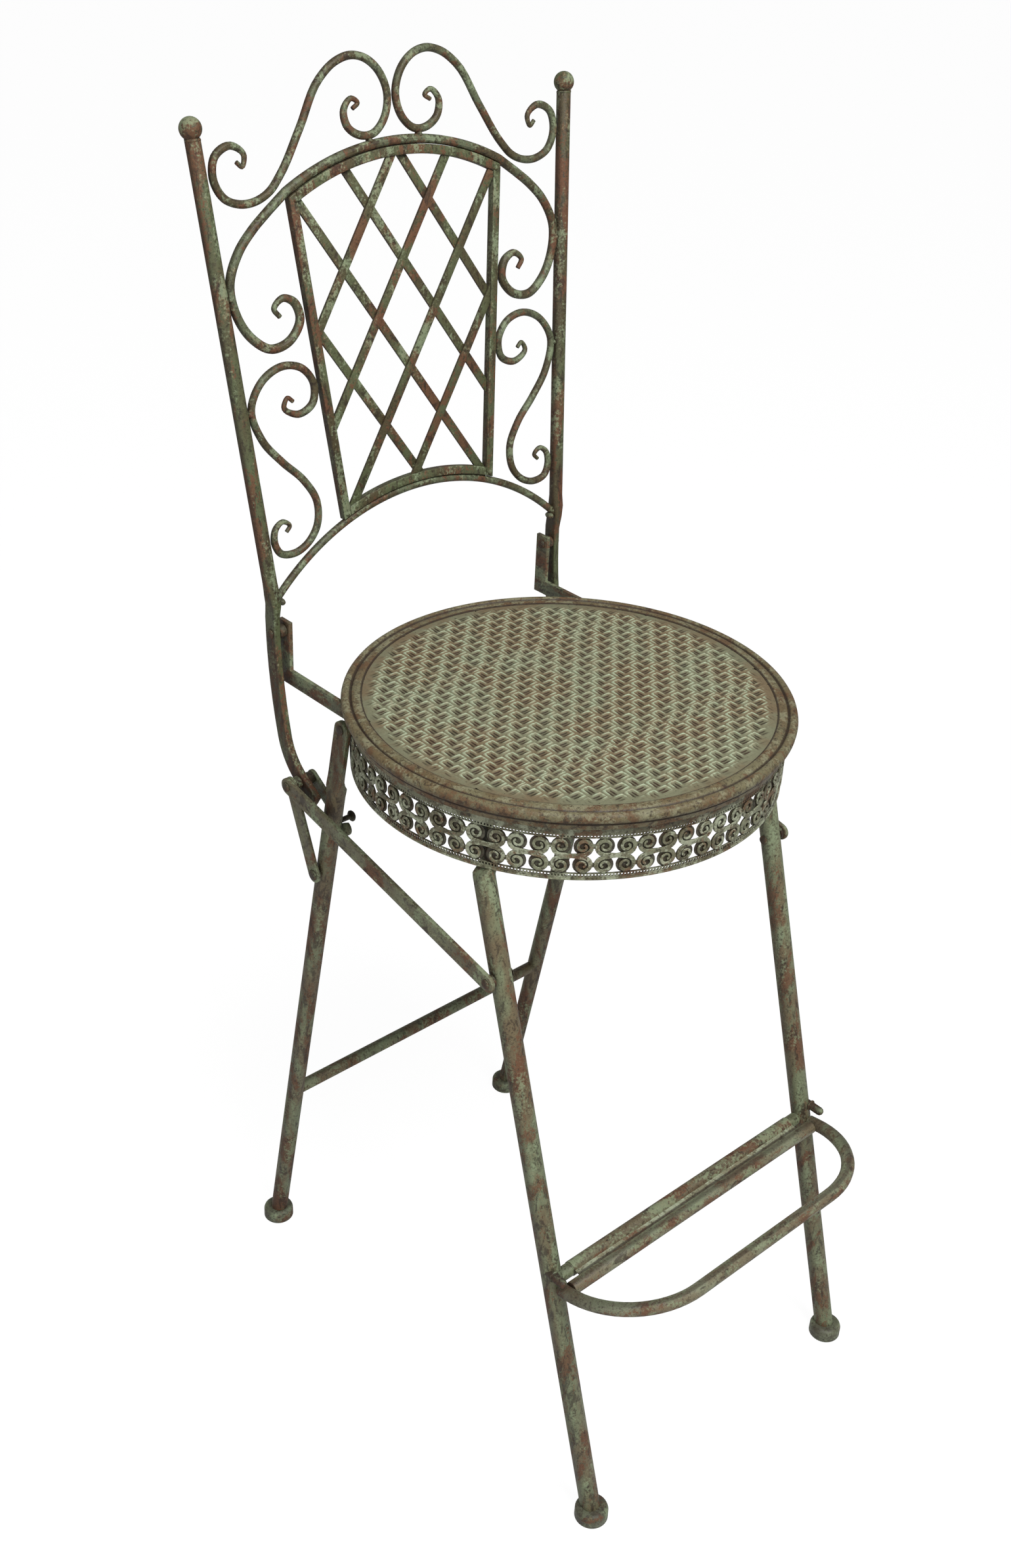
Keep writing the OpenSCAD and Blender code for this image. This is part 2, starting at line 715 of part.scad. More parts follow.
// A round-nosed peg on the front of each front leg stops the footrest from rising
module stop_peg() {
    peg_x = front_leg_x + 5;
    peg_z = footrest_at.y + footrest_d / 2 + peg_gap + peg_d / 2;
    back_y = front_leg_at(peg_z).x;
    tip_y = back_y - front_leg_d / 2 - peg_len + 4;
    difference() {
        union() {
            rod([peg_x, back_y, peg_z], [peg_x, tip_y, peg_z], peg_d);
            translate([peg_x, tip_y, peg_z]) sphere(d = peg_d, $fn = fine);
        }
        rod([front_leg_x, front_leg_at(100).x, 100], [front_leg_x, front_leg_at(400).x, 400],
            front_leg_d + touch);
    }
}

// Strut rivets: leg, spacer, strut
module strut_rivet_pin() {
    inner = front_leg_x - front_leg_d / 2;
    outer = front_leg_x + front_leg_d / 2;
    rivet(strut_rivet, inner - slip, bolt_end);
    cross_pin(strut_rivet, outer + slip, strut_x - slip, spacer_d);
}

// A strut runs from the front leg to the post end, outside the legs
module strut() {
    difference() {
        plate(strut_x, strut_t) polygon(flat_bar(strut_rivet, strut_pivot, strut_w));
        cross_pin(strut_rivet, strut_x - 1, bolt_end, pin_d + 2 * fit);
        cross_pin(strut_pivot, strut_x - 1, bolt_end, pin_d + 2 * fit);
    }
}

// A link runs from the post end down to the rear leg
module link() {
    difference() {
        plate(link_x, link_t) polygon(flat_bar(strut_pivot, link_rivet, strut_w));
        cross_pin(link_rivet, link_x - 1, link_x + link_t + 1, pin_d + 2 * fit);
        cross_pin(strut_pivot, link_x - 1, link_x + link_t + 1, pin_d + 2 * fit);
    }
}

// The link rivet stops just short of the leg, where the linkage is open
module link_rivet_pin() {
    open = rear_leg_x + rear_leg_d / 2 + slip;
    translate([open, link_rivet.x, link_rivet.y]) rotate([0, 90, 0]) rotate_extrude($fn = fine)
        polygon([
            [0, 0], [spacer_d / 2, 0], [spacer_d / 2, link_x - slip - open],
            [pin_d / 2, link_x - slip - open], [pin_d / 2, link_x + link_t + slip - open],
            [head_d / 2, link_x + link_t + slip - open],
            [head_d * 0.36, link_x + link_t + slip + head_h * 0.7 - open],
            [0, link_x + link_t + slip + head_h * 0.7 - open]
        ]);
}

// The catch: a small hooked plate on the left strut bolt that drops over a stud
catch_deg = 32.6;
catch_dir = [-cos(catch_deg), -sin(catch_deg)];
stud_at = strut_pivot + catch_dir * stud_reach;
module catch_plate() {
    mouth_deg = 133;
    mouth = [cos(mouth_deg), sin(mouth_deg)];
    side = [-mouth.y, mouth.x];
    r = stud_d / 2 + 0.8;
    difference() {
        plate(catch_x, catch_t)
            polygon(flat_bar(strut_pivot, strut_pivot + catch_dir * (catch_len - catch_w / 2),
                catch_w));
        cross_pin(strut_pivot, catch_x - 1, catch_x + catch_t + 1, pin_d + 2 * fit);
        cross_pin(stud_at, catch_x - 1, catch_x + catch_t + 1, 2 * r);
        plate(catch_x - 1, catch_t + 2) polygon([
            stud_at + side * (r - 0.2), stud_at - side * (r - 0.2),
            stud_at - side * (r + 5) + mouth * 16, stud_at + side * (r + 5) + mouth * 16
        ]);
    }
}

// The catch stud: a mushroom-headed pin in the left rear leg
module catch_stud() {
    base = rear_leg_x - rear_leg_d / 2 + leg_wall;
    translate([base, stud_at.x, stud_at.y]) rotate([0, -90, 0]) rotate_extrude($fn = fine)
        polygon([
            [0, 0], [stud_d / 2, 0], [stud_d / 2, base - catch_x + 1.5],
            [stud_d * 0.9, base - catch_x + 2.5], [stud_d * 0.8, base - catch_x + 4.5],
            [stud_d * 0.4, base - catch_x + 5.5], [0, base - catch_x + 5.5]
        ]);
}

// The straight footrest tube lies in front of the legs, its ends cut to meet the bow
module footrest_tube() {
    cross_pin(footrest_at, -footrest_x + footrest_d / 2 + touch,
        footrest_x - footrest_d / 2 - touch, footrest_d);
}

// The footrest bow: sides, two round corners and a straight front, all of one bent tube
module footrest_bow() {
    r = footrest_corner_r;
    stub = footrest_depth - r;
    flat = footrest_x - r;
    translate([0, footrest_at.x, footrest_at.y]) rotate([-footrest_rise, 0, 0]) {
        for (side = [LEFT, RIGHT]) on(side) {
            rod([footrest_x, footrest_d / 2, 0], [footrest_x, -stub, 0], footrest_d);
            translate([flat, -stub, 0]) rotate_extrude(angle = 90, start = -90, $fn = 72)
                translate([r, 0]) circle(d = footrest_d, $fn = 32);
        }
        rod([-flat, -footrest_depth, 0], [flat, -footrest_depth, 0], footrest_d);
    }
}

// A clip: a long strap rolled round the cross bar and carried on to the footrest tube
module footrest_clip() {
    r_in = cross_d / 2 + fit;
    r_out = r_in + clip_t;
    bore = footrest_d / 2 + fit;
    translate([clip_x - clip_w / 2, 0, 0]) difference() {
        union() {
            cross_pin(footrest_pivot, 0, clip_w, 2 * r_out);
            translate([0, footrest_at.x, footrest_at.y + r_out - clip_t])
                cube([clip_w, footrest_gap, clip_t]);
            translate([0, footrest_at.x, footrest_at.y - r_out])
                cube([clip_w, footrest_gap, clip_t]);
        }
        cross_pin(footrest_pivot, -1, clip_w + 1, 2 * r_in);
        cross_pin(footrest_at, -1, clip_w + 1, 2 * bore);
    }
}

chair() color(iron) on(LEFT) post();  // post_left
chair() color(iron) on(RIGHT) post();  // post_right
chair() color(pale) on(LEFT) finial();  // finial_left
chair() color(pale) on(RIGHT) finial();  // finial_right
chair() color(iron) big_arch();
chair() color(iron) on(LEFT) crest_scroll();  // crest_scroll_left
chair() color(iron) on(RIGHT) crest_scroll();  // crest_scroll_right
chair() color(iron) on(LEFT) side_scroll();  // side_scroll_left
chair() color(iron) on(RIGHT) side_scroll();  // side_scroll_right
chair() color(pale) panel_rail_top();
chair() color(pale) panel_rail_bottom();
chair() color(pale) on(LEFT) panel_bar_side();  // panel_bar_left
chair() color(pale) on(RIGHT) panel_bar_side();  // panel_bar_right
chair() color(pale) lattice(RIGHT, -strip_t / 2);  // lattice_front
chair() color(pale) lattice(LEFT, strip_t / 2);  // lattice_rear
chair() color(iron) lower_arch();
chair() color(rust) for (side = [LEFT, RIGHT]) on(side) fold_rivet();  // fold_rivets
chair() color(rust) for (side = [LEFT, RIGHT]) on(side) strut_bolt(side);  // strut_bolts
chair() color(pale) seat_pan();
chair() color(pale) seat_rim();
chair() color(rust) seat_apron();
chair() color(iron) on(LEFT) side_rail();  // side_rail_left
chair() color(iron) on(RIGHT) side_rail();  // side_rail_right
chair() color(rust) for (side = [LEFT, RIGHT]) on(side) front_leg_rivet();  // front_leg_rivets
chair() color(rust) for (side = [LEFT, RIGHT]) on(side) rear_leg_rivet();  // rear_leg_rivets
chair() color(iron) on(LEFT) front_leg();  // front_leg_left
chair() color(iron) on(RIGHT) front_leg();  // front_leg_right
chair() color(iron) front_cross_bar();
chair() color(rust) for (side = [LEFT, RIGHT]) on(side) front_foot();  // front_feet
chair() color(rust) for (side = [LEFT, RIGHT]) on(side) stop_peg();  // stop_pegs
chair() color(rust) for (side = [LEFT, RIGHT]) on(side) strut_rivet_pin();  // strut_rivets
chair() color(iron) on(LEFT) rear_leg(LEFT);  // rear_leg_left
chair() color(iron) on(RIGHT) rear_leg(RIGHT);  // rear_leg_right
chair() color(iron) rear_cross_bar();
chair() color(rust) for (side = [LEFT, RIGHT]) on(side) rear_foot();  // rear_feet
chair() color(rust) on(LEFT) catch_stud();
chair() color(iron) on(LEFT) strut();  // strut_left
chair() color(iron) on(RIGHT) strut();  // strut_right
chair() color(iron) on(LEFT) link();  // link_left
chair() color(iron) on(RIGHT) link();  // link_right
chair() color(rust) for (side = [LEFT, RIGHT]) on(side) link_rivet_pin();  // link_rivets
chair() color(iron) on(LEFT) catch_plate();
chair() color(iron) footrest_tube();
chair() color(iron) footrest_bow();
chair() color(pale) on(LEFT) footrest_clip();  // footrest_clip_left
chair() color(pale) on(RIGHT) footrest_clip();  // footrest_clip_right
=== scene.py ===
# A tall folding garden chair of tube, round bar and flat bar, painted in verdigris that
# has worn back to rust: scrolled back with a lattice panel, round seat pressed like
# basket work over a pierced apron, four folding legs and a hinged footrest.
import math

import bpy
from mathutils import Matrix, Vector


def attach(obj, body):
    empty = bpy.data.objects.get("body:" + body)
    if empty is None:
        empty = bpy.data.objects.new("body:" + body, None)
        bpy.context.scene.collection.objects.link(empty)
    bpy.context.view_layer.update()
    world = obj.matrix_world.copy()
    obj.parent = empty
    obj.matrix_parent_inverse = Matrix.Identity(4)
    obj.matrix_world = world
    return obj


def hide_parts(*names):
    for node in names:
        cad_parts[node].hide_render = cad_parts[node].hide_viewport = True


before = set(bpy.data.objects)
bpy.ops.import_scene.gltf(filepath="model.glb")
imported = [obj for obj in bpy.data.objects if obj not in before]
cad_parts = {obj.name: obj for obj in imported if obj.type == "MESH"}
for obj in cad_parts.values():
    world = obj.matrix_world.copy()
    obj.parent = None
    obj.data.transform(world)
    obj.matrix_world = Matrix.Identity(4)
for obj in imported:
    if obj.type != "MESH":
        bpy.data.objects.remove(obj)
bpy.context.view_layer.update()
bpy.ops.object.select_all(action="DESELECT")

# Back posts: two round steel tubes, each pressed flat below the shoulder, bent forward
# and cut off past the strut bolt. Sprayed green, rubbed back so that the rust shows
# in long streaks.
MM = 0.001
SIDES = {"left": -1, "right": 1}
CENTRE_Y = 19.1623
SHOULDER = (205, 763)
POST_X, FINIAL_X = 171, 200
FINIAL_BACK, FINIAL_UP = 51, 401
BACK_LEAN = math.atan2(FINIAL_BACK, FINIAL_UP)
BACK_LEN = math.hypot(FINIAL_BACK, FINIAL_UP)
POST_D = 13


def at(x, y, z):
    """A place in metres from millimetres, y measured from the middle of the seat."""
    return Vector((x, y + CENTRE_Y, z)) * MM


def mix(a, b, share):
    return a + (b - a) * share


def on_back(x, h, y=0):
    """A place on the leaning back, h up it from the shoulder line and y behind it."""
    return at(
        x,
        SHOULDER[0] + y * math.cos(BACK_LEAN) + h * math.sin(BACK_LEAN),
        SHOULDER[1] - y * math.sin(BACK_LEAN) + h * math.cos(BACK_LEAN),
    )


def take(*pieces):
    """Selects these objects alone; the first is the active one."""
    bpy.ops.object.select_all(action="DESELECT")
    for piece in pieces:
        piece.select_set(True)
    bpy.context.view_layer.objects.active = pieces[0]


CORNERS, ROUND, BLOCK = 32, 2, 10


def forged(name, stations):
    """A bar drawn out through stations: place, tilt off upright, thickness, width.

    Its section is round where thickness and width are alike, and goes to a block with
    rounded corners where it is pressed flat.
    """
    place, tilt, thick, wide = stations[0]
    bpy.ops.mesh.primitive_circle_add(
        vertices=CORNERS, radius=wide / 2 * MM, fill_type="NGON", location=place,
        rotation=(tilt, 0, 0),
    )
    piece = bpy.context.object
    piece.name = name
    bpy.ops.object.mode_set(mode="EDIT")
    bpy.ops.transform.resize(value=(thick / wide, 1, 1), center_override=place)
    for before, after in zip(stations, stations[1:]):
        bpy.ops.mesh.extrude_region_move(TRANSFORM_OT_translate={"value": after[0] - before[0]})
        turn = before[1] - after[1]
        if turn:
            bpy.ops.transform.rotate(value=turn, orient_axis="X", center_override=after[0])
        across, along = after[2] / before[2], after[3] / before[3]
        if (across, along) != (1, 1):
            bpy.ops.transform.resize(value=(across, along, along), center_override=after[0])
    bpy.ops.object.mode_set(mode="OBJECT")
    bpy.ops.object.transform_apply(location=True, rotation=True, scale=True)
    for ring, (place, tilt, thick, wide) in enumerate(stations):
        square = mix(ROUND, BLOCK, min(1.0, 1.6 * abs(1 - thick / wide)))
        level = Vector((0, math.cos(tilt), math.sin(tilt)))
        for vertex in piece.data.vertices[ring * CORNERS:(ring + 1) * CORNERS]:
            off = vertex.co - place
            a, b = off.x / (thick / 2 * MM), off.dot(level) / (wide / 2 * MM)
            swell = (abs(a) ** square + abs(b) ** square) ** (-1 / square)
            vertex.co = place + off * swell
    return piece


def joined(pieces):
    take(*pieces)
    bpy.ops.object.join()
    return pieces[0]


def closed(piece, merge=0.0):
    """Merges vertices nearer than merge metres and turns every face outwards."""
    take(piece)
    bpy.ops.object.mode_set(mode="EDIT")
    bpy.ops.mesh.select_all(action="SELECT")
    if merge:
        bpy.ops.mesh.remove_doubles(threshold=merge)
    bpy.ops.mesh.normals_make_consistent(inside=False)
    bpy.ops.object.mode_set(mode="OBJECT")


def coated(piece, finish, angle):
    """Smooths a piece where it turns by less than angle and gives it its finish."""
    take(piece)
    bpy.ops.object.shade_smooth_by_angle(angle=math.radians(angle))
    piece.data.materials.clear()
    piece.data.materials.append(finish)
    return piece


def completed(piece, finish, soften=0.0, angle=35):
    """Closes a mesh, rounds its edges by soften mm, smooths it and gives it a finish."""
    take(piece)
    bpy.ops.object.transform_apply(location=True, rotation=True, scale=True)
    closed(piece, 2e-6)
    if soften:
        edge = piece.modifiers.new("edge", "BEVEL")
        edge.width, edge.segments = soften * MM, 2
        edge.limit_method, edge.angle_limit = "ANGLE", math.radians(30)
        bpy.ops.object.modifier_apply(modifier=edge.name)
    return coated(piece, finish, angle)


class Socket:
    """A value inside a finish that adds, subtracts and multiplies like a number."""

    def __init__(self, finish, source):
        self.finish, self.source = finish, source

    def sum(self, operation, first, second):
        return self.finish.node("Math", {"operation": operation}, {0: first, 1: second})

    def __add__(self, other):
        return self.sum("ADD", self, other)

    def __sub__(self, other):
        return self.sum("SUBTRACT", self, other)

    def __rsub__(self, other):
        return self.sum("SUBTRACT", other, self)

    def __mul__(self, other):
        return self.sum("MULTIPLY", self, other)

    def __abs__(self):
        return self.finish.node("Math", {"operation": "ABSOLUTE"}, {0: self})

    __radd__, __rmul__ = __add__, __mul__


class Finish:
    """The nodes of a material or of the world; node() adds one and joins its sockets."""

    def __init__(self, owner):
        owner.use_nodes = True
        self.owner, self.tree = owner, owner.node_tree
        self.tree.nodes.clear()
        self.place = self.node("TexCoord", out="Object")

    def node(self, kind, settings=None, sockets=None, out=0):
        made = self.tree.nodes.new("ShaderNode" + kind)
        for key, value in (settings or {}).items():
            setattr(made, key, value)
        for key, value in (sockets or {}).items():
            if isinstance(value, Socket):
                self.tree.links.new(value.source, made.inputs[key])
            else:
                made.inputs[key].default_value = value
        return Socket(self, made.outputs[out]) if made.outputs else None

    def along(self, vector, axis):
        """One of a vector's three parts."""
        return self.node("SeparateXYZ", None, {0: vector}, out=axis)

    def cloud(self, size, seed, detail=4.0, stretch=(1, 1, 1), warp=0.0):
        """Soft random patches about size mm across, from 0 to 1."""
        spot = self.node("Mapping", None, {"Vector": self.place, "Scale": stretch})
        return self.node("TexNoise", {"noise_dimensions": "4D"}, {
            "Vector": spot, "W": seed, "Scale": 1000 / size, "Detail": detail,
            "Roughness": 0.6, "Distortion": warp,
        })

    def step(self, value, low, high):
        """0 below low, 1 above high, and smooth between them."""
        return self.node("MapRange", {"interpolation_type": "SMOOTHSTEP"}, {
            "Value": value, "From Min": low, "From Max": high,
        })

    def blend(self, amount, under, over, how="MIX"):
        """One colour laid over another; 6, 7 and 2 are the Mix node's colour sockets."""
        settings = {"data_type": "RGBA", "blend_type": how}
        return self.node("Mix", settings, {0: amount, 6: under, 7: over}, out=2)

    def shaded(self, amount, colour, shade):
        """The colour darkened or lightened by a grey of this shade."""
        grey = self.node("CombineColor", None, {0: shade, 1: shade, 2: shade})
        return self.blend(amount, colour, grey, "MULTIPLY")

    def metal(self, colour, roughness, height, depth):
        """The painted iron surface itself; height is raised by up to depth mm."""
        bump = {"Height": height, "Distance": depth * MM}
        shader = self.node("BsdfPrincipled", None, {
            "Base Color": colour, "Roughness": roughness, "Specular IOR Level": 0.35,
            "Normal": self.node("Bump", None, bump, out="Normal"),
        })
        self.node("OutputMaterial", None, {"Surface": shader})
        return self.owner


def paint(red, green, blue):
    """A colour from a painter's chart, 0 to 255 each, as the shader needs it."""
    share = [c / 255 for c in (red, green, blue)]
    return (*(c / 12.92 if c < 0.04045 else ((c + 0.055) / 1.055) ** 2.4 for c in share), 1)


OLIVE = paint(74, 66, 44)
MOSS = paint(82, 88, 60)
VERDIGRIS = paint(128, 140, 110)
RUST = paint(98, 62, 42)
# Umber is the colour of burnt rust and pits, and also of all the painted shade.
UMBER_AND_SHADE = paint(42, 30, 22)


def worn_paint(
    name, deep=OLIVE, fresh=MOSS, bloom=VERDIGRIS, rust=RUST, rusty=0.5, bloomy=0.5,
    stretch=(1, 1, 0.4), seed=0.0, flank_shade=0.6, painted_shade=None,
):
    """Verdigris over rust: rusty and bloomy are the shares of rust and of pale bloom.

    Faces that look neither to the front nor to the back get painted shade by the flank
    share. The optional last argument tells a finish where painted shade lies.
    """
    f = Finish(bpy.data.materials.new(name))
    normal = f.node("TexCoord", out="Normal")
    lit_from_above, broad = f.along(normal, "Z"), abs(f.along(normal, "Y"))
    speck = f.cloud(2.4, seed + 5, 5)
    grain = f.cloud(0.9, seed + 4, 2)
    tone = f.step(f.cloud(30, seed + 1, 3, stretch), 0.42, 0.58)
    scab = f.cloud(18, seed + 2, 5, stretch, 0.5) + 0.45 * speck
    crust = f.cloud(6, seed + 6, 6, stretch, 0.8) + 0.3 * grain
    dust = f.cloud(15, seed + 3, 5, stretch, 0.4) + 0.6 * speck
    # Tops paler and undersides rustier: partly bloom and rust gathering there, partly a painted
    # highlight on top and painted shade underneath.
    rusted = f.step(scab - 0.03 * lit_from_above, 0.79 - 0.13 * rusty, 0.86 - 0.13 * rusty)
    burnt = f.step(crust - 0.04 * lit_from_above, 0.74 - 0.12 * rusty, 0.82 - 0.12 * rusty)
    bloomed = f.step(dust + 0.05 * lit_from_above, 0.85 - 0.1 * bloomy, 0.97 - 0.1 * bloomy)
    pitted = 1 - f.step(speck + 0.3 * grain, 0.5, 0.6)
    colour = f.blend(tone, deep, fresh)
    colour = f.blend(0.8 * rusted, colour, rust)
    colour = f.blend(0.7 * burnt, colour, UMBER_AND_SHADE)
    colour = f.blend(0.7 * bloomed, colour, bloom)
    colour = f.blend(0.55 * pitted, colour, UMBER_AND_SHADE)
    # Painted shade: faces that look neither to the front nor to the back are darkened towards
    # umber.
    colour = f.blend(flank_shade * (1 - f.step(broad, 0.1, 0.7)), colour, UMBER_AND_SHADE)
    # Painted shade in grooves, joints and hollows, where the given function lays it.
    if painted_shade:
        colour = f.blend(painted_shade(f), colour, UMBER_AND_SHADE)
    return f.metal(
        f.shaded(0.9, colour, 0.2 + 0.9 * grain + 0.7 * speck),
        0.5 + 0.2 * rusted + 0.12 * bloomed,
        0.6 * speck + 0.3 * grain + 0.5 * scab + 0.2 * bloomed,
        0.5,
    )


post_paint = worn_paint("post_paint", rusty=0.6, bloomy=0.1, stretch=(1, 1, 0.3))
flat_w, flat_t = 15, 7
sweep_r, sweep_turn = 500, math.radians(13.5)
bend_r, bend_turn, tail = 58, math.radians(45), 25
sweep_top = Vector((208.5, 754.5))


def below(turn):
    """The direction that lies turn below straight back, seen from the side."""
    return Vector((math.cos(turn), -math.sin(turn)))


sweep_middle = sweep_top - Vector((sweep_r, 0))
bend_middle = sweep_middle + (sweep_r - bend_r) * below(sweep_turn)
tail_turn = sweep_turn + bend_turn
STRUT_PIVOT = bend_middle + bend_r * below(tail_turn)
tail_end = STRUT_PIVOT - tail * Vector((math.sin(tail_turn), math.cos(tail_turn)))

for side, sign in SIDES.items():
    stations = [(at(sign * POST_X, *tail_end), -tail_turn, flat_t, flat_w)]
    for middle, r, first, last, steps in (
        (bend_middle, bend_r, tail_turn, sweep_turn + 0.07, 8),
        (sweep_middle, sweep_r, sweep_turn, 0.004, 7),
    ):
        for k in range(steps + 1):
            turn = mix(first, last, k / steps)
            spot = middle + r * below(turn)
            stations.append((at(sign * POST_X, *spot), -turn, flat_t, flat_w))
    stations += [
        (at(sign * POST_X, 207.6, 759), 0.0, 7.6, 15),
        (at(sign * POST_X, 206.6, 766), 0.04, 9.2, 14.6),
        (on_back(sign * mix(POST_X, FINIAL_X, 0.03), 12), -BACK_LEAN, 11.5, 13.6),
        (on_back(sign * mix(POST_X, FINIAL_X, 0.06), 24), -BACK_LEAN, POST_D, POST_D),
        (on_back(sign * mix(POST_X, FINIAL_X, 0.98), BACK_LEN - 7), -BACK_LEAN, POST_D, POST_D),
    ]
    post = completed(forged(f"flattened_tube_{side}", stations), post_paint, 0.7)
    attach(post, "back")
    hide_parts(f"post_{side}")

# Finials: solid balls set on the posts and welded round the joint, rubbed to brown, with
# a little painted shade where they turn away from front and back, and pale on top, partly bloom
# and partly a painted highlight.
BALL_D = 18.5
NECK_R, NECK_BEAD, NECK_DROP = 5.3, 1.5, 8.6
ball_paint = worn_paint(
    "ball_paint", rusty=0.75, bloomy=0.6, stretch=(1, 1, 1), seed=11, flank_shade=0.2
)
for side, sign in SIDES.items():
    middle = on_back(sign * FINIAL_X, BACK_LEN)
    bpy.ops.mesh.primitive_uv_sphere_add(
        segments=32, ring_count=20, radius=BALL_D / 2 * MM, location=middle
    )
    ball = bpy.context.object
    ball.name = f"ball_{side}"
    bpy.ops.mesh.primitive_torus_add(
        major_segments=24, minor_segments=8,
        major_radius=NECK_R * MM, minor_radius=NECK_BEAD * MM,
        location=on_back(sign * (FINIAL_X - 0.6), BACK_LEN - NECK_DROP),
        rotation=(-BACK_LEAN, 0, 0),
    )
    neck = bpy.context.object
    bpy.ops.object.mode_set(mode="EDIT")
    bpy.ops.transform.vertex_random(offset=0.5 * MM, seed=3 + sign)
    bpy.ops.object.mode_set(mode="OBJECT")
    completed(joined([ball, neck]), ball_paint, angle=60)
    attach(ball, "back")
    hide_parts(f"finial_{side}")

# Scroll bars: round bar, drawn out thin at the tips and curled cold round a jig. The big
# arch is one 8 mm bar whose ends make the two halves of a heart; thinner crest scrolls
# stand on it and an S-scroll fills each side under the heart, all welded where they touch.
SCROLL_D, THIN_SCROLL_D, TIP_SHARE, TOUCH = 8, 6.8, 0.56, 0.15
ARCH_R, ARCH_H, CREST_H, LOW_ARCH_H, LOW_ARCH_R = 258, 375, 70, 74.5, 243.5
PANEL_LOW, PANEL_TOP, PANEL_BAR = (84.5, 62), (112, 342), 8
heart_line = [
    (0.25, 0.865), (0.523, 0.824), (0.791, 0.77), (0.995, 0.687), (0.962, 0.601),
    (0.804, 0.537), (0.548, 0.498), (0.257, 0.511), (0.051, 0.567), (0.106, 0.614),
    (0.267, 0.629), (0.414, 0.604), (0.348, 0.581),
]
side_line = [
    (0.372, 0.341), (0.441, 0.354), (0.517, 0.331), (0.329, 0.301), (0.082, 0.324),
    (0.02, 0.375), (0.142, 0.425), (0.417, 0.445), (0.757, 0.418), (0.99, 0.346),
    (0.909, 0.251), (0.673, 0.175), (0.408, 0.105), (0.276, 0.035), (0.336, -0.038),
    (0.526, -0.084), (0.733, -0.1), (0.922, -0.089), (0.985, -0.048), (0.933, -0.012),
    (0.822, 0.003), (0.728, -0.015), (0.79, -0.03),
]
crest_line = [
    (0.204, 0.414), (0.172, 0.471), (0.204, 0.529), (0.253, 0.414), (0.244, 0.235),
    (0.174, 0.108), (0.097, 0.11), (0.032, 0.25), (0.001, 0.514), (0.042, 0.8),
    (0.116, 0.957), (0.19, 1), (0.281, 0.943), (0.368, 0.786), (0.504, 0.271),
    (0.644, -0.22), (0.702, -0.36), (0.782, -0.45), (0.871, -0.46), (0.95, -0.371),
    (0.99, -0.129), (0.965, 0.086), (0.875, 0.186), (0.813, 0.057), (0.832, -0.057),
    (0.858, 0),
]


def post_side(h):
    """The face of the post that looks at the panel."""
    return mix(POST_X, FINIAL_X, h / BACK_LEN) - POST_D / 2


def panel_side(h):
    """The middle of a side bar of the panel."""
    return mix(PANEL_LOW[0], PANEL_TOP[0], (h - PANEL_LOW[1]) / (PANEL_TOP[1] - PANEL_LOW[1]))


def beside_panel(across, up):
    h, gap = mix(LOW_ARCH_H, ARCH_H, up), SCROLL_D / 2 + TOUCH
    return Vector((mix(panel_side(h) + PANEL_BAR / 2 + gap, post_side(h) - gap, across), h))


def over_arch(across, up):
    h, gap = ARCH_H + CREST_H * up, SCROLL_D / 2 + TOUCH
    return Vector((mix(gap, post_side(h) - gap, across), h))


def smooth_line(points, steps):
    """A curve that passes through every point, with even flow from span to span."""
    chord = [(b - a).length for a, b in zip(points, points[1:])]
    slope = [(points[1] - points[0]) / chord[0]]
    for i in range(1, len(points) - 1):
        a, b = chord[i - 1], chord[i]
        slope.append(
            ((points[i + 1] - points[i]) * (a / b) + (points[i] - points[i - 1]) * (b / a))
            / (a + b)
        )
    slope.append((points[-1] - points[-2]) / chord[-1])
    line = []
    for i, d in enumerate(chord):
        for k in range(steps):
            t = k / steps
            u = 1 - t
            line.append(
                points[i] * ((1 + 2 * t) * u * u) + slope[i] * (d * t * u * u)
                + points[i + 1] * (t * t * (3 - 2 * t)) - slope[i + 1] * (d * t * t * u)
            )
    return line + [points[-1]]


def scroll_bar(name, line, places, tips=(True, True), thick=SCROLL_D, drawn=42):
    """A round bar along a line of places; a tip thins over its last drawn mm."""
    bpy.ops.curve.primitive_bezier_curve_add()
    piece = bpy.context.object
    piece.name = name
    piece.data.splines.clear()
    spline = piece.data.splines.new("POLY")
    spline.points.add(len(places) - 1)
    run = [0.0]
    for a, b in zip(line, line[1:]):
        run.append(run[-1] + (b - a).length)
    for point, spot, gone in zip(spline.points, places, run):
        ends = [gone] * tips[0] + [run[-1] - gone] * tips[1]
        share = min([1.0, *(e / drawn for e in ends)])
        point.co = (*spot, 1)
        point.radius = mix(TIP_SHARE, 1, share * share * (3 - 2 * share))
    piece.data.dimensions = "3D"
    piece.data.twist_mode = "MINIMUM"
    piece.data.bevel_depth = thick / 2 * MM
    piece.data.bevel_resolution = 4
    piece.data.use_fill_caps = True
    bpy.ops.object.convert(target="MESH")
    return bpy.context.object


WELDS_APART = 15


def meets(first, second, reach):
    """The places where line first comes within reach mm of line second."""
    pairs = [(p, min(second, key=lambda q: (q - p).length)) for p in first]
    found = []
    for p, q in sorted(pairs, key=lambda pair: (pair[1] - pair[0]).length):
        if (q - p).length < reach and all((p - spot).length > WELDS_APART for spot in found):
            found.append((p + q) / 2)
    return found


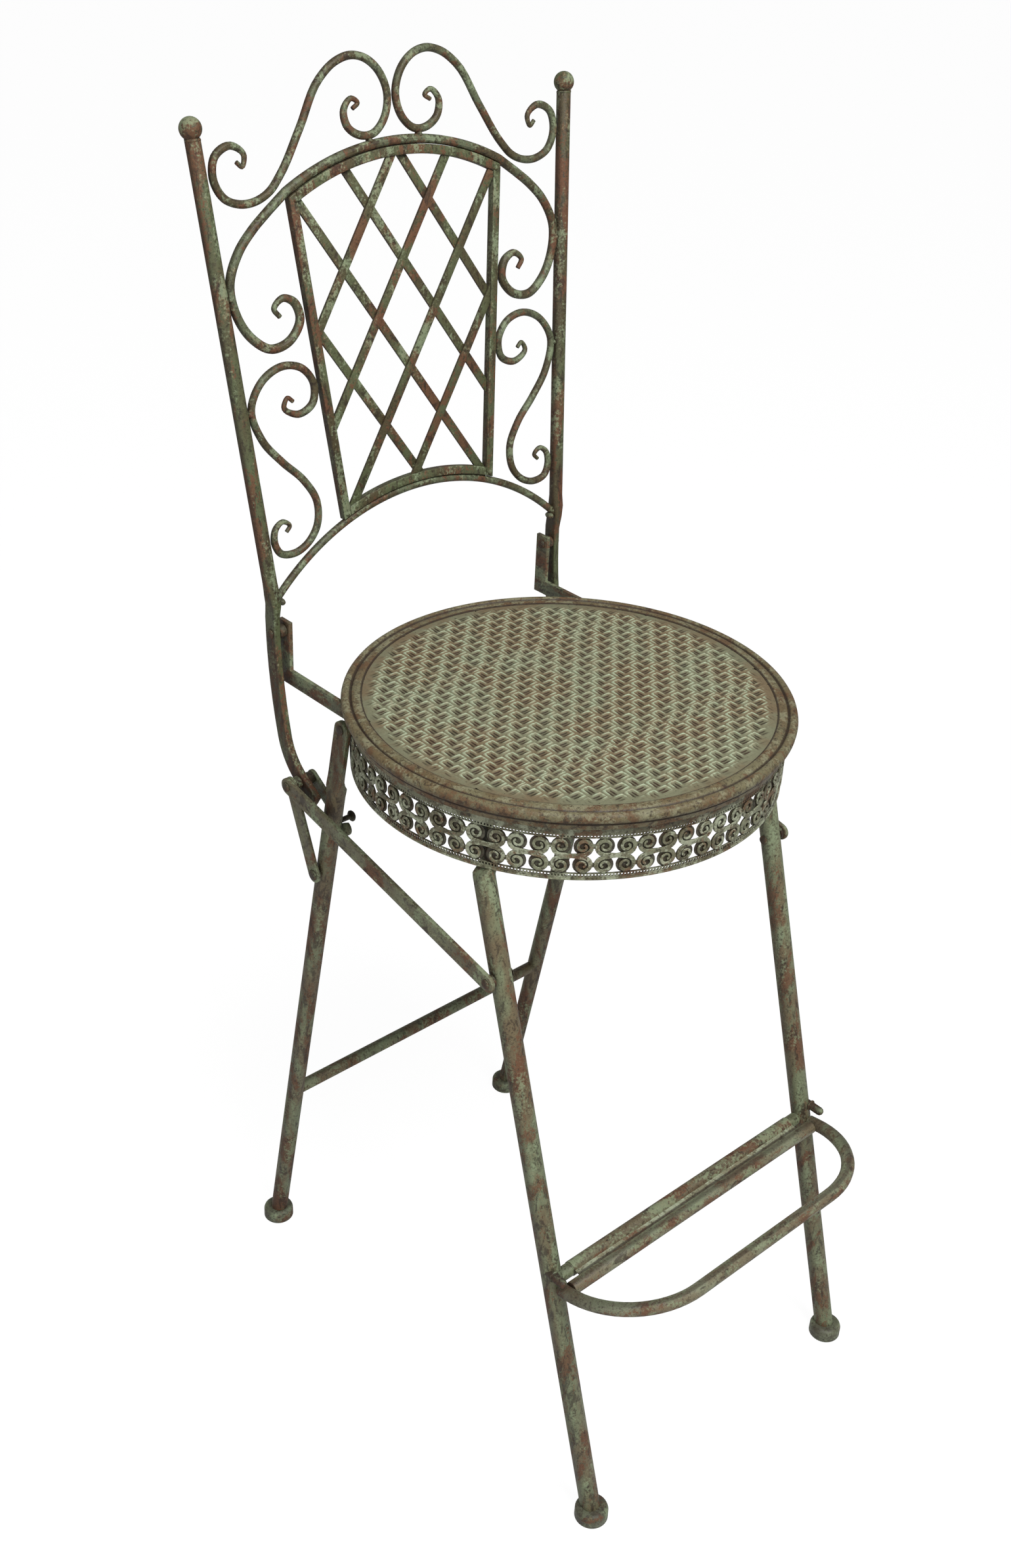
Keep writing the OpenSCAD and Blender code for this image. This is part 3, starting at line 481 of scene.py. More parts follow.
def welded(piece, spots, size=2.6):
    """Adds a lumpy weld bead to the piece at each of these places on the back."""
    beads = []
    for count, spot in enumerate(spots):
        bpy.ops.mesh.primitive_ico_sphere_add(
            subdivisions=3, radius=size * MM, location=on_back(*spot)
        )
        bead = bpy.context.object
        bpy.ops.object.mode_set(mode="EDIT")
        bpy.ops.transform.resize(value=(1, 1.65, 1), center_override=bead.location)
        bpy.ops.transform.vertex_random(offset=0.16 * MM, seed=count)
        bpy.ops.object.mode_set(mode="OBJECT")
        bpy.ops.object.shade_smooth()
        bpy.ops.object.transform_apply(location=True, rotation=True, scale=True)
        bead.data.materials.append(piece.data.materials[0])
        beads.append(bead)
    joined([piece, *beads])


def from_top(angle):
    """The direction that lies angle degrees round from straight up."""
    turn = math.radians(angle)
    return Vector((math.sin(turn), math.cos(turn)))


def mirrored(points):
    return [Vector((-p.x, p.y)) for p in points]


scroll_paint = worn_paint(
    "scroll_paint", fresh=paint(92, 98, 74), rusty=0.45, bloomy=0.25, stretch=(1, 1, 0.8), seed=21
)
arch_middle = Vector((0, ARCH_H - ARCH_R))
crown = [arch_middle + ARCH_R * from_top(angle) for angle in range(28)]
heart = smooth_line([beside_panel(*p) for p in heart_line], 8)
half = crown + heart
arch_line = mirrored(reversed(half[1:])) + half
arch = scroll_bar("big_arch_bar", arch_line, [on_back(*p) for p in arch_line])
completed(arch, scroll_paint, 0.6, 50)
heights = range(3, 400, 3)
post_face = [Vector((post_side(h), h)) for h in heights]
panel_face = [Vector((panel_side(h) + PANEL_BAR / 2, h)) for h in heights]
middle_line = [Vector((0, h)) for h in heights]
to_face, to_bar = SCROLL_D / 2 + 0.6, SCROLL_D + 0.9
heart_welds = meets(heart, post_face, to_face) + meets(heart, panel_face, to_face)
welded(arch, [(sign * p.x, p.y) for p in heart_welds for sign in SIDES.values()])
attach(arch, "back")
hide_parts("big_arch")
crest = smooth_line([over_arch(*p) for p in crest_line], 6)
lower_s = smooth_line([beside_panel(*p) for p in side_line], 7)
welds = {
    "crest_scroll": meets(crest, half, to_bar)
    + meets(crest, post_face, to_face)
    + meets(crest, middle_line, to_face),
    "side_scroll": meets(lower_s, heart, to_bar)
    + meets(lower_s, post_face, to_face)
    + meets(lower_s, panel_face, to_face),
}
for side, sign in SIDES.items():
    for what, line in {"crest_scroll": crest, "side_scroll": lower_s}.items():
        scroll = scroll_bar(
            f"{what}_bar_{side}", line, [on_back(sign * p.x, p.y) for p in line],
            thick=THIN_SCROLL_D,
        )
        completed(scroll, scroll_paint, 0.6, 50)
        welded(scroll, [(sign * p.x, p.y) for p in welds[what]])
        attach(scroll, "back")
        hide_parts(f"{what}_{side}")

# Lower arch: one thinner round bar sprung from post to post under the panel, with
# straight cut ends welded to the posts.
LOW_ARCH_D, INTO_POST, STEPS, BIG_BEAD = 7, 4, 30, 3.2
low_reach = math.degrees(math.asin((post_side(2) + INTO_POST) / LOW_ARCH_R))
low_middle = Vector((0, LOW_ARCH_H - LOW_ARCH_R))
low_line = [
    low_middle + LOW_ARCH_R * from_top(low_reach * k / STEPS) for k in range(-STEPS, STEPS + 1)
]
low_arch = scroll_bar(
    "lower_arch_bar", low_line, [on_back(*p) for p in low_line], (False, False), LOW_ARCH_D
)
completed(low_arch, scroll_paint, angle=50)
low_welds = meets(low_line, [p for p in lower_s if p.y < LOW_ARCH_H], to_bar)
low_welds += mirrored(low_welds)
low_welds += [Vector((sign * (post_side(3) - 1.5), 4.5)) for sign in SIDES.values()]
welded(low_arch, low_welds, BIG_BEAD)
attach(low_arch, "back")
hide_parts("lower_arch")

# Panel frame: square bar, two straight sides between two bowed rails, mitred by eye and
# welded, with its corners hammered round.


def refined(node, name, finish, soften, angle=35):
    """The shape of a CAD piece with its edges worn round by soften mm."""
    piece = bpy.data.objects.new(name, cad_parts[node].data.copy())
    bpy.context.scene.collection.objects.link(piece)
    take(piece)
    bpy.ops.object.mode_set(mode="EDIT")
    bpy.ops.mesh.select_all(action="SELECT")
    bpy.ops.mesh.remove_doubles(threshold=2e-6)
    bpy.ops.mesh.dissolve_limited(angle_limit=math.radians(0.5))
    bpy.ops.object.mode_set(mode="OBJECT")
    return completed(piece, finish, soften, angle)


PANEL_CORNERS = {"panel_rail_top": (110, 341), "panel_rail_bottom": (85, 67.5)}
panel_paint = worn_paint("panel_paint", rusty=0.5, bloomy=0.15, stretch=(1, 1, 0.4), seed=31)
for node in ("panel_rail_top", "panel_rail_bottom", "panel_bar_left", "panel_bar_right"):
    bar = refined(node, f"square_{node}", panel_paint, 1.0)
    if node in PANEL_CORNERS:
        x, h = PANEL_CORNERS[node]
        welded(bar, [(sign * x, h, -0.6) for sign in SIDES.values()], 3.4)
    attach(bar, "back")
    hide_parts(node)

# Lattice: flat strips in two layers, the front ones crossing the rear ones and spot
# welded; each strip has its own tone, some browner and some greener.
strip_paint = worn_paint("strip_paint", rusty=0.5, bloomy=0.0, stretch=(0.6, 0.6, 0.4), seed=41)
for node in ("lattice_front", "lattice_rear"):
    strips = refined(node, f"strips_{node}", strip_paint, 0.5)
    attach(strips, "back")
    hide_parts(node)

# Rivets and bolts: round-headed, hammered over loose enough to turn, with short sleeves
# between the plates. Bare rusty steel, almost black.
PIN_D, SLEEVE_D, CHAMFER, SLIP = 6, 12, 0.5, 0.3
FOLD_PIVOT = (207, 738)
RAIL_X, RAIL_T, CATCH_X, CATCH_T, LINK_X, LINK_T, STRUT_T = 156, 4, 157.5, 3, 182, 3, 4
RAIL_OUT, POST_IN, POST_OUT = RAIL_X + RAIL_T, POST_X - flat_t / 2, POST_X + flat_t / 2
STRUT_X = LINK_X + LINK_T + SLIP
BOLT_END = STRUT_X + STRUT_T + SLIP


def turned(name, outline, centre, axis, steps=28):
    """A shape turned on a lathe: outline is (along the axis, radius) pairs in mm."""
    along = Vector(axis)
    out = Vector((0, 0, 1)) if abs(along.z) < 0.5 else Vector((1, 0, 0))
    bpy.ops.mesh.primitive_plane_add(size=MM, location=centre)
    piece = bpy.context.object
    piece.name = name
    bpy.ops.object.mode_set(mode="EDIT")
    bpy.ops.mesh.merge(type="CENTER")
    spots = [(along * a + out * r) * MM for a, r in outline]
    bpy.ops.transform.translate(value=spots[0])
    for before, after in zip(spots, spots[1:]):
        bpy.ops.mesh.extrude_region_move(TRANSFORM_OT_translate={"value": after - before})
    bpy.ops.mesh.select_all(action="SELECT")
    bpy.ops.mesh.spin(steps=steps, angle=math.tau, center=centre, axis=along)
    bpy.ops.mesh.select_all(action="SELECT")
    bpy.ops.mesh.remove_doubles(threshold=1e-6)
    bpy.ops.object.mode_set(mode="OBJECT")
    return piece


def rivet(name, spot, sign, start, end, sleeves=()):
    """A rivet across the chair from start to end, its heads outside them."""
    dome = [(0, 4.5), (0.7, 4.4), (1.3, 3.7), (1.7, 2.2), (1.85, 0)]
    pin_r, wide = PIN_D / 2, SLEEVE_D / 2
    outline = [(start - a, r) for a, r in reversed(dome)] + [(start, pin_r)]
    for low, high in sleeves:
        outline += [(low, pin_r), (low, wide - CHAMFER), (low + CHAMFER, wide)]
        outline += [(high - CHAMFER, wide), (high, wide - CHAMFER), (high, pin_r)]
    outline += [(end, pin_r)] + [(end + a, r) for a, r in dome]
    return turned(name, outline, at(0, *spot), (sign, 0, 0))


rivet_rust = worn_paint(
    "rivet_rust", paint(62, 54, 40), paint(80, 78, 58), rust=paint(84, 56, 38),
    rusty=0.8, bloomy=0.2, stretch=(1, 1, 1), seed=51,
)


def rusted(pieces):
    """Joins turned pieces to one and leaves them bare and rusty."""
    return completed(joined(pieces), rivet_rust, angle=40)


fold_sleeve = (RAIL_OUT + SLIP, POST_IN - SLIP)
catch_sleeve = (CATCH_X + CATCH_T + SLIP, POST_IN - SLIP)
link_sleeve = (POST_OUT + SLIP, LINK_X - SLIP)
fold_ends = (RAIL_X - SLIP, POST_OUT + SLIP, [fold_sleeve])
for node, name, spot, ends in (
    ("fold_rivets", "fold_rivet", FOLD_PIVOT, {"left": fold_ends, "right": fold_ends}),
    ("strut_bolts", "strut_bolt", STRUT_PIVOT, {
        "left": (CATCH_X - SLIP, BOLT_END, [catch_sleeve, link_sleeve]),
        "right": (POST_IN - SLIP, BOLT_END, [link_sleeve]),
    }),
):
    pins = rusted([
        rivet(f"{name}_{side}", spot, sign, *ends[side]) for side, sign in SIDES.items()
    ])
    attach(pins, "back")
    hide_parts(node)

# Seat pan: one round sheet pressed into basket work. Each float is a tongue with a raised
# lip on three sides and two grooves down its middle; floats lie along and across by turns,
# and two rows are squashed where the press met its own edge.
SEAT_Z, SEAT_R, RIM_W, SHEET = 710, 202.4, 18.5, 1.8
PAN_Z, PAN_R = SEAT_Z - 2.4, SEAT_R - RIM_W - TOUCH
CELL, SQUASHED, HALF_ROW, SEAMS = 12.5, 8, 6, (90, -85)
RELIEF, FADE, TAPER = 1.3, 9, 0.09


def pressed_cell(lengthwise):
    """One cell of the pattern, centred on its own origin, as a small relief."""
    edge = CELL / 2
    across = (-edge, -5.3, -3.9, -1.9, 0.0, 1.9, 3.9, 5.3, edge)
    along = (-edge, -5.1, -1.8, 1.6, 4.7, edge)
    lift = ((0, 0, 0, 0, 0, 0, 0, 0, 0),
            (0, 0.2, 0.4, -0.5, -0.1, -0.5, 0.4, 0.2, 0),
            (0, 0.4, 0.85, -0.8, -0.05, -0.8, 0.85, 0.4, 0),
            (0, 0.5, 1.0, -0.7, 0.1, -0.7, 1.0, 0.5, 0),
            (0, 0.45, 0.95, 0.85, 1.05, 0.85, 0.95, 0.45, 0),
            (0, 0, 0, 0, 0, 0, 0, 0, 0))
    bpy.ops.mesh.primitive_grid_add(
        x_subdivisions=len(across) - 1, y_subdivisions=len(along) - 1, size=2 * MM
    )
    piece = bpy.context.object
    for vertex in piece.data.vertices:
        i = round((vertex.co.x / MM + 1) / 2 * (len(across) - 1))
        j = round((vertex.co.y / MM + 1) / 2 * (len(along) - 1))
        u, v = across[i], along[j]
        if j == len(along) - 2:
            v -= TAPER * abs(u)
        spot = (u, v) if lengthwise else (v, -u)
        vertex.co = Vector((*spot, lift[j][i] * RELIEF)) * MM
    return piece


stencils = [pressed_cell(True), pressed_cell(False)]
rows, y = [], -PAN_R
while y < PAN_R:
    squashed = any(abs(y + HALF_ROW - seam) < CELL / 2 for seam in SEAMS)
    rows.append((y, SQUASHED if squashed else CELL))
    y += rows[-1][1]
cells = []
columns = int(PAN_R / CELL) + 1
for j, (low, tall) in enumerate(rows):
    for i in range(-columns, columns + 1):
        x, y = i * CELL, low + tall / 2
        if math.hypot(x, y) > PAN_R + HALF_ROW:
            continue
        cell = stencils[(i + j) % 2].copy()
        cell.data = cell.data.copy()
        cell.data.transform(
            Matrix.Translation(at(x, y, PAN_Z)) @ Matrix.Diagonal((1, tall / CELL, 1, 1))
        )
        bpy.context.scene.collection.objects.link(cell)
        cells.append(cell)
for stencil in stencils:
    bpy.data.objects.remove(stencil)
pan = joined(cells)
pan.name = "pressed_pan"
hub = at(0, 0, PAN_Z)
for vertex in pan.data.vertices:
    flat = (vertex.co - hub).xy
    share = min(1.0, max(0.0, (PAN_R - 2 - flat.length / MM) / FADE))
    vertex.co.z = hub.z + (vertex.co.z - hub.z) * share
    if flat.length > PAN_R * MM:
        vertex.co.xy = hub.xy + flat * (PAN_R * MM / flat.length)
weave = Finish(bpy.data.materials.new("weave_paint"))
height = (weave.along(weave.place, "Z") - PAN_Z * MM) * 1000
soft = weave.cloud(46, 5, 4)
brown = weave.step(weave.cloud(30, 7, 4), 0.42, 0.62)
grain = weave.cloud(1.5, 8, 3)
speck = weave.cloud(5, 9, 3)
ground = weave.blend(weave.step(soft, 0.4, 0.6), paint(108, 94, 70), paint(112, 112, 88))
sunk = weave.blend(brown, paint(50, 44, 30), paint(56, 38, 26))
lip = weave.blend(weave.step(speck, 0.35, 0.6), paint(150, 146, 120), paint(158, 170, 142))
tint = weave.blend(weave.step(0.1 - height, 0.0, 0.8), ground, sunk)
tint = weave.blend(weave.step(height, 0.4, 1.15), tint, lip)
tint = weave.shaded(0.5, tint, 0.62 + 0.76 * grain)
weave_paint = weave.metal(tint, 0.6 + 0.15 * brown, 0.5 * grain + 0.5 * speck, 0.35)
bpy.ops.mesh.primitive_circle_add(
    vertices=96, radius=PAN_R * MM, fill_type="NGON", location=at(0, 0, PAN_Z - SHEET)
)
under = bpy.context.object
bpy.ops.object.mode_set(mode="EDIT")
for wide, deep in ((9, 0.8), (4, -0.8)):
    bpy.ops.mesh.inset(thickness=wide * MM, depth=deep * MM)
bpy.ops.mesh.flip_normals()
bpy.ops.object.mode_set(mode="OBJECT")
bpy.ops.object.transform_apply(location=True, rotation=True, scale=True)
closed(pan, 2e-5)
if sum(p.normal.z for p in pan.data.polygons) < 0:
    bpy.ops.object.mode_set(mode="EDIT")
    bpy.ops.mesh.flip_normals()
    bpy.ops.object.mode_set(mode="OBJECT")
coated(joined([pan, under]), weave_paint, 55)
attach(pan, "seat")
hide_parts("seat_pan")

# Seat rim: the edge of the seat, rolled over a wire: a flat shoulder, a groove, a rounded
# bead and a plain skirt. Browner than the pan, golden where hands have rubbed it.
rim_in = SEAT_R - RIM_W
rim_outline = [(PAN_Z + up, rim_in + out) for up, out in (
    (-1.8, 0), (0.3, 0), (1.1, 1.4), (1.4, 3.6), (1.2, 6), (0.6, 8), (-0.5, 9.2), (-1.1, 9.8),
    (-0.9, 10.5), (0.3, 11.2), (1.0, 12.4), (1.2, 13.8), (0.9, 15.4), (-0.1, 17), (-1.6, 18),
    (-3.4, 18.5), (-5.6, 18.2), (-7.2, 17.2), (-8.0, 15.6), (-8.6, 15.4), (-9.2, 15.8),
    (-14.4, 14.2), (-14.4, 12.6), (-7, 12.4), (-3.5, 9), (-1.8, 0),
)]


def radius(f):
    """How far a spot of the seat is from its upright axis, in mm."""
    flat = f.node(
        "VectorMath", {"operation": "MULTIPLY_ADD"},
        {0: f.place, 1: (1000, 1000, 0), 2: (0, -CENTRE_Y, 0)},
    )
    return f.node("VectorMath", {"operation": "LENGTH"}, {0: flat}, out="Value")


def rim_painted_shade(f):
    """Painted shade in the joint with the pan, in the groove and under the bead."""
    away = radius(f)
    height = f.along(f.place, "Z") * 1000
    lines = 0.0
    for value, line, wide in (
        (away, rim_in + 0.4, 1.6), (away, rim_in + 10, 1.9), (height, PAN_Z - 8.3, 2.2)
    ):
        near = 1 - f.step(abs(value - line), wide / 3, wide)
        lines = f.node("Math", {"operation": "MAXIMUM"}, {0: near, 1: lines})
    return 0.85 * lines


rim_paint = worn_paint(
    "rim_paint", paint(98, 84, 58), paint(104, 98, 72), paint(126, 124, 98),
    paint(90, 64, 42), rusty=0.55, bloomy=0.05, stretch=(1, 1, 1), seed=61, flank_shade=0.0,
    painted_shade=rim_painted_shade,
)
rim = turned("rolled_rim", rim_outline, at(0, 0, 0), (0, 0, 1), 144)
completed(rim, rim_paint, angle=50)
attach(rim, "seat")
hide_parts("seat_rim")

# Apron: a pierced band of pressed sheet under the rim. Pairs of S-scrolls cross and curl
# into four spirals, bridged to the next pair, between two lines of small square holes.
APRON_R, APRON_T, APRON_H, APRON_DROP, UNITS = 194, 1.5, 52, 16, 34
APRON_LOW = SEAT_Z - APRON_DROP - TOUCH - APRON_H
unit_w = math.tau * APRON_R / UNITS
eye_x, eye_low, eye_high, eye_a, eye_b, eye_t = 9.1, 14.3, 32.3, 8.2, 8.3, 0.7
RIB_D, RIB_DRAWN, RIB_IN, RIB_LIFT = 3.8, 40, 0.7, 0.35
CURL_FROM, CURL_STEP, CURL_STEPS, CURL_LOSS = 100, 19.5, 26, 0.78
HOLES, HOLE_ROWS = 13, (4.5, 41.9)


def slab(u, v, wide, tall, deep=APRON_T, lift=0.0):
    """A small plate of the band: u round it, v up it, lift out of it."""
    bpy.ops.mesh.primitive_cube_add(size=MM, location=(u * MM, v * MM, (lift - deep / 2) * MM))
    piece = bpy.context.object
    bpy.ops.object.mode_set(mode="EDIT")
    bpy.ops.transform.resize(value=(wide, tall, deep), center_override=piece.location)
    if wide > 12:
        bpy.ops.mesh.subdivide(number_cuts=5)
    bpy.ops.object.mode_set(mode="OBJECT")
    return piece


parts = []
for low, high in ((0, 3.4), (5.6, 6.4), (40.2, 41.0), (42.8, APRON_H)):
    parts.append(slab(0, (low + high) / 2, unit_w, high - low))
parts.append(slab(0, 0.7, unit_w, 1.4, 1.4, 0.5))
for v in HOLE_ROWS:
    for k in range(HOLES):
        parts.append(slab((k - HOLES // 2) * unit_w / HOLES, v, 1.25, 2.4, 1.3))
for v, foot in ((eye_low, 5.9), (eye_high, 40.7)):
    for u in (1.8 - unit_w / 2, unit_w / 2 - 1.8):
        parts.append(slab(u, v, 3.6, 3.8, 1.2, -0.1))
    for u in (-eye_x, eye_x):
        bpy.ops.mesh.primitive_cylinder_add(
            vertices=20, radius=MM, depth=eye_t * MM, location=(u * MM, v * MM, -1.15 * MM)
        )
        eye = bpy.context.object
        bpy.ops.object.mode_set(mode="EDIT")
        bpy.ops.transform.resize(value=(eye_a, eye_b, 1), center_override=eye.location)
        bpy.ops.object.mode_set(mode="OBJECT")
        parts.append(eye)
        parts.append(slab(u, mix(v, foot, 0.93), 3.0, 2.4, 1.1, -0.2))
arm = []
for k in range(CURL_STEPS + 1):
    turn = math.radians(CURL_FROM + k * CURL_STEP)
    shrink = 1 - CURL_LOSS * k / CURL_STEPS
    arm.append(Vector((
        -eye_x + (eye_a - RIB_IN) * shrink * math.cos(turn),
        eye_low + (eye_b - RIB_IN) * shrink * math.sin(turn),
    )))
rib = arm[::-1] + [Vector((-p.x, eye_low + eye_high - p.y)) for p in arm]
for line, lift in ((rib, RIB_LIFT), (mirrored(rib), 0.0)):
    places = [Vector((p.x, p.y, lift)) * MM for p in line]
    parts.append(scroll_bar("rib", line, places, thick=RIB_D, drawn=RIB_DRAWN))
unit = joined(parts)
bpy.ops.object.transform_apply(location=True, rotation=True, scale=True)
for vertex in unit.data.vertices:
    u, v, w = vertex.co / MM
    turn = u / APRON_R - math.pi / 2
    reach = APRON_R + min(w, 1.0) - 0.2
    vertex.co = at(reach * math.cos(turn), reach * math.sin(turn), APRON_LOW + v)
band, hinge = [unit], Matrix.Translation(at(0, 0, 0))
for k in range(1, UNITS):
    copy = unit.copy()
    copy.data = unit.data.copy()
    copy.data.transform(hinge @ Matrix.Rotation(k * math.tau / UNITS, 4, "Z") @ hinge.inverted())
    bpy.context.scene.collection.objects.link(copy)
    band.append(copy)


def apron_painted_shade(f):
    """Painted shade in the middles of the spirals and in all else that lies deep in the band."""
    return 0.8 * (1 - f.step(radius(f), APRON_R - 0.95, APRON_R + 0.1))


apron_paint = worn_paint(
    "apron_paint", paint(96, 92, 70), paint(118, 120, 96), paint(164, 170, 146),
    paint(100, 72, 50), rusty=0.4, bloomy=0.6, stretch=(1, 1, 1), seed=71, flank_shade=0.0,
    painted_shade=apron_painted_shade,
)
apron = joined(band)
apron.name = "scroll_apron"
closed(apron)
coated(apron, apron_paint, 45)
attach(apron, "seat")
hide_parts("seat_apron")

# Side rails: flat bar under the seat, riveted to both legs and turned up behind to the
# fold rivet. Mostly brown, with green left in patches.
rail_paint = worn_paint(
    "rail_paint", paint(92, 78, 58), paint(98, 104, 80), rusty=0.62, bloomy=0.25,
    stretch=(1, 0.6, 1), seed=81, flank_shade=0.3,
)
for side in SIDES:
    rail = refined(f"side_rail_{side}", f"flat_rail_{side}", rail_paint, 0.7)
    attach(rail, "seat")
    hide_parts(f"side_rail_{side}")

# Seat rivets: round-headed steel, hammered over. One pair goes through the front legs
# inside the apron, and one pair goes out through the apron to the rear legs.
FRONT_FOOT_Y, FRONT_RAKE, REAR_FOOT_Y, REAR_RAKE = -271, 0.294, 236, -0.1926
STRUT_RIVET_Z, LINK_RIVET_Z, REAR_PIVOT_Z = 544, 520, 686


def front_leg_at(z):
    """Where the middle of a front leg is at height z, as (y, z)."""
    return Vector((FRONT_FOOT_Y + FRONT_RAKE * z, z))


def rear_leg_at(z):
    """Where the middle of a rear leg is at height z, as (y, z)."""
    return Vector((REAR_FOOT_Y + REAR_RAKE * z, z))


STRUT_RIVET, LINK_RIVET = front_leg_at(STRUT_RIVET_Z), rear_leg_at(LINK_RIVET_Z)
REAR_PIVOT = rear_leg_at(REAR_PIVOT_Z)
FRONT_PIVOT = Vector(FOLD_PIVOT) + STRUT_RIVET - STRUT_PIVOT
FRONT_FLAT_X, REAR_FLAT_X, FLAT_T = RAIL_OUT + 1.3, 170, 6
for node, spot, flat_x in (
    ("front_leg_rivets", FRONT_PIVOT, FRONT_FLAT_X), ("rear_leg_rivets", REAR_PIVOT, REAR_FLAT_X)
):
    gap = [(RAIL_OUT + SLIP, flat_x - SLIP)]
    pins = rusted([
        rivet(f"pin_{node}_{side}", spot, sign, RAIL_X - SLIP, flat_x + FLAT_T + SLIP, gap)
        for side, sign in SIDES.items()
    ])
    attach(pins, "seat")
    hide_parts(node)

# Legs: round steel tube, the tops pressed flat in a vice and drilled. The front pair is
# stouter and rakes forward from inside the apron; the rear pair hangs outside it.
leg_paint = worn_paint(
    "leg_paint", paint(104, 92, 68), paint(112, 118, 90), rusty=0.55, bloomy=0.3,
    stretch=(1, 1, 0.3), seed=91, flank_shade=0.45,
)
FRONT_LEG_X, FRONT_LEG_D, REAR_LEG_X, REAR_LEG_D, TOP_R = 172, 19, 170.5, 17.5, 7.4
for name, body, line_at, pivot, leg_x, leg_d, flat_x, flat_w, press_z, press_len, late in (
    ("front_leg", "front_legs", front_leg_at, FRONT_PIVOT, FRONT_LEG_X, FRONT_LEG_D,
     FRONT_FLAT_X, 17, 630, 16, 1.5),
    ("rear_leg", "rear_legs", rear_leg_at, REAR_PIVOT, REAR_LEG_X, REAR_LEG_D,
     REAR_FLAT_X, 18.2, 610, 26, 1),
):
    up = (line_at(1) - line_at(0)).normalized()
    press = line_at(press_z)
    reach = (pivot - press).length
    tilt = -math.atan2(up.x, up.y)
    top = (pivot - press).normalized()
    for side, sign in SIDES.items():
        stations = [(at(sign * leg_x, *line_at(5)), tilt, leg_d, leg_d)]
        for k, share in enumerate((0, 0.12, 0.35, 0.65, 0.88, 1)):
            eased = (share * share * (3 - 2 * share)) ** late
            spot = press + up * (press_len * k / 5)
            x = mix(leg_x, flat_x + FLAT_T / 2, eased)
            stations.append(
                (at(sign * x, *spot), tilt, mix(leg_d, FLAT_T, eased), mix(leg_d, flat_w, eased))
            )
        for past in (0.0, 0.35, 0.62, 0.82, 0.95, 0.995):
            spot = press + top * (reach + past * TOP_R)
            wide = flat_w * math.sqrt(1 - past * past)
            stations.append((at(sign * (flat_x + FLAT_T / 2), *spot), tilt, FLAT_T, wide))
        leg = completed(forged(f"{name}_tube_{side}", stations), leg_paint, 0.5)
        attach(leg, body)
        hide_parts(f"{name}_{side}")

# Cross bars: round tube let in between each pair of legs and welded; the footrest's straps
# turn on the front one.
for node, body in (("front_cross_bar", "front_legs"), ("rear_cross_bar", "rear_legs")):
    bar = refined(node, f"tube_{node}", leg_paint, 0.3)
    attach(bar, body)
    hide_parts(node)

# Feet: turned steel pucks pushed on the leg ends and welded, as green as the legs and
# worn paler.
foot_paint = worn_paint(
    "foot_paint", paint(84, 84, 66), paint(108, 112, 92), rusty=0.45, bloomy=0.5,
    stretch=(1, 1, 1), seed=101,
)
foot_outline = [
    (0, 0), (0, 14.2), (0.5, 15.3), (1.5, 16), (10.6, 15.9), (12.4, 15.3), (13.8, 14),
    (14.6, 12.4), (15, 11), (15, 0),
]
for node, body, leg_x, leg_y in (
    ("front_feet", "front_legs", FRONT_LEG_X, front_leg_at(4.8).x),
    ("rear_feet", "rear_legs", REAR_LEG_X, rear_leg_at(4.8).x),
):
    feet = completed(joined([
        turned(f"foot_{node}_{side}", foot_outline, at(sign * leg_x, leg_y, 0), (0, 0, 1), 40)
        for side, sign in SIDES.items()
    ]), foot_paint, angle=40)
    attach(feet, body)
    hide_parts(node)

# Stop pegs: short round-nosed rods welded to the fronts of the front legs, which keep the
# footrest from tipping up.
FOOTREST_X, FOOTREST_D, FOOTREST_GAP, CROSS_Z = 172, 13, 18, 253
FOOTREST_PIVOT = front_leg_at(CROSS_Z)
footrest_y = FOOTREST_PIVOT.x - FOOTREST_GAP
PEG_X, PEG_D, PEG_GAP, PEG_LEN = 177, 8.5, 3, 12
peg_z = CROSS_Z + FOOTREST_D / 2 + PEG_GAP + PEG_D / 2
peg_r, peg_tip = PEG_D / 2, FRONT_LEG_D / 2 + PEG_LEN
peg_outline = [
    (3, 0), (3, peg_r), (9.4, peg_r), (9.6, 5.4), (10.6, 5.6), (11.2, 5.2), (11.4, peg_r),
    (peg_tip, peg_r), (peg_tip + 2, 3.7), (peg_tip + 3.4, 2.4), (peg_tip + peg_r, 0),
]
peg_back = front_leg_at(peg_z).x
pegs = rusted([
    turned(f"peg_{side}", peg_outline, at(sign * PEG_X, peg_back, peg_z), (0, -1, 0), 20)
    for side, sign in SIDES.items()
])
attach(pegs, "front_legs")
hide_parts("stop_pegs")

# Strut rivets and link rivets: the lower pivots of the linkage, round-headed steel. The
# strut's go right through the front leg, the link's end short of the rear one.
leg_in, leg_out = FRONT_LEG_X - FRONT_LEG_D / 2, FRONT_LEG_X + FRONT_LEG_D / 2
strut_sleeve = (leg_out + SLIP, STRUT_X - SLIP)
pins = rusted([
    rivet(f"strut_pin_{side}", STRUT_RIVET, sign, leg_in - SLIP, BOLT_END, [strut_sleeve])
    for side, sign in SIDES.items()
])
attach(pins, "front_legs")
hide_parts("strut_rivets")
open_x, inner, outer = REAR_LEG_X + REAR_LEG_D / 2 + SLIP, LINK_X - SLIP, LINK_X + LINK_T + SLIP
link_outline = [
    (open_x, 0), (open_x, 5.4), (open_x + 0.5, 6), (inner - 0.5, 6), (inner, 5.4),
    (inner, 3), (outer, 3), (outer, 5.4), (outer + 0.9, 5.2), (outer + 1.7, 3.9),
    (outer + 2.1, 0),
]
pins = rusted([
    turned(f"link_pin_{side}", link_outline, at(0, *LINK_RIVET), (sign, 0, 0))
    for side, sign in SIDES.items()
])
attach(pins, "links")
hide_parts("link_rivets")

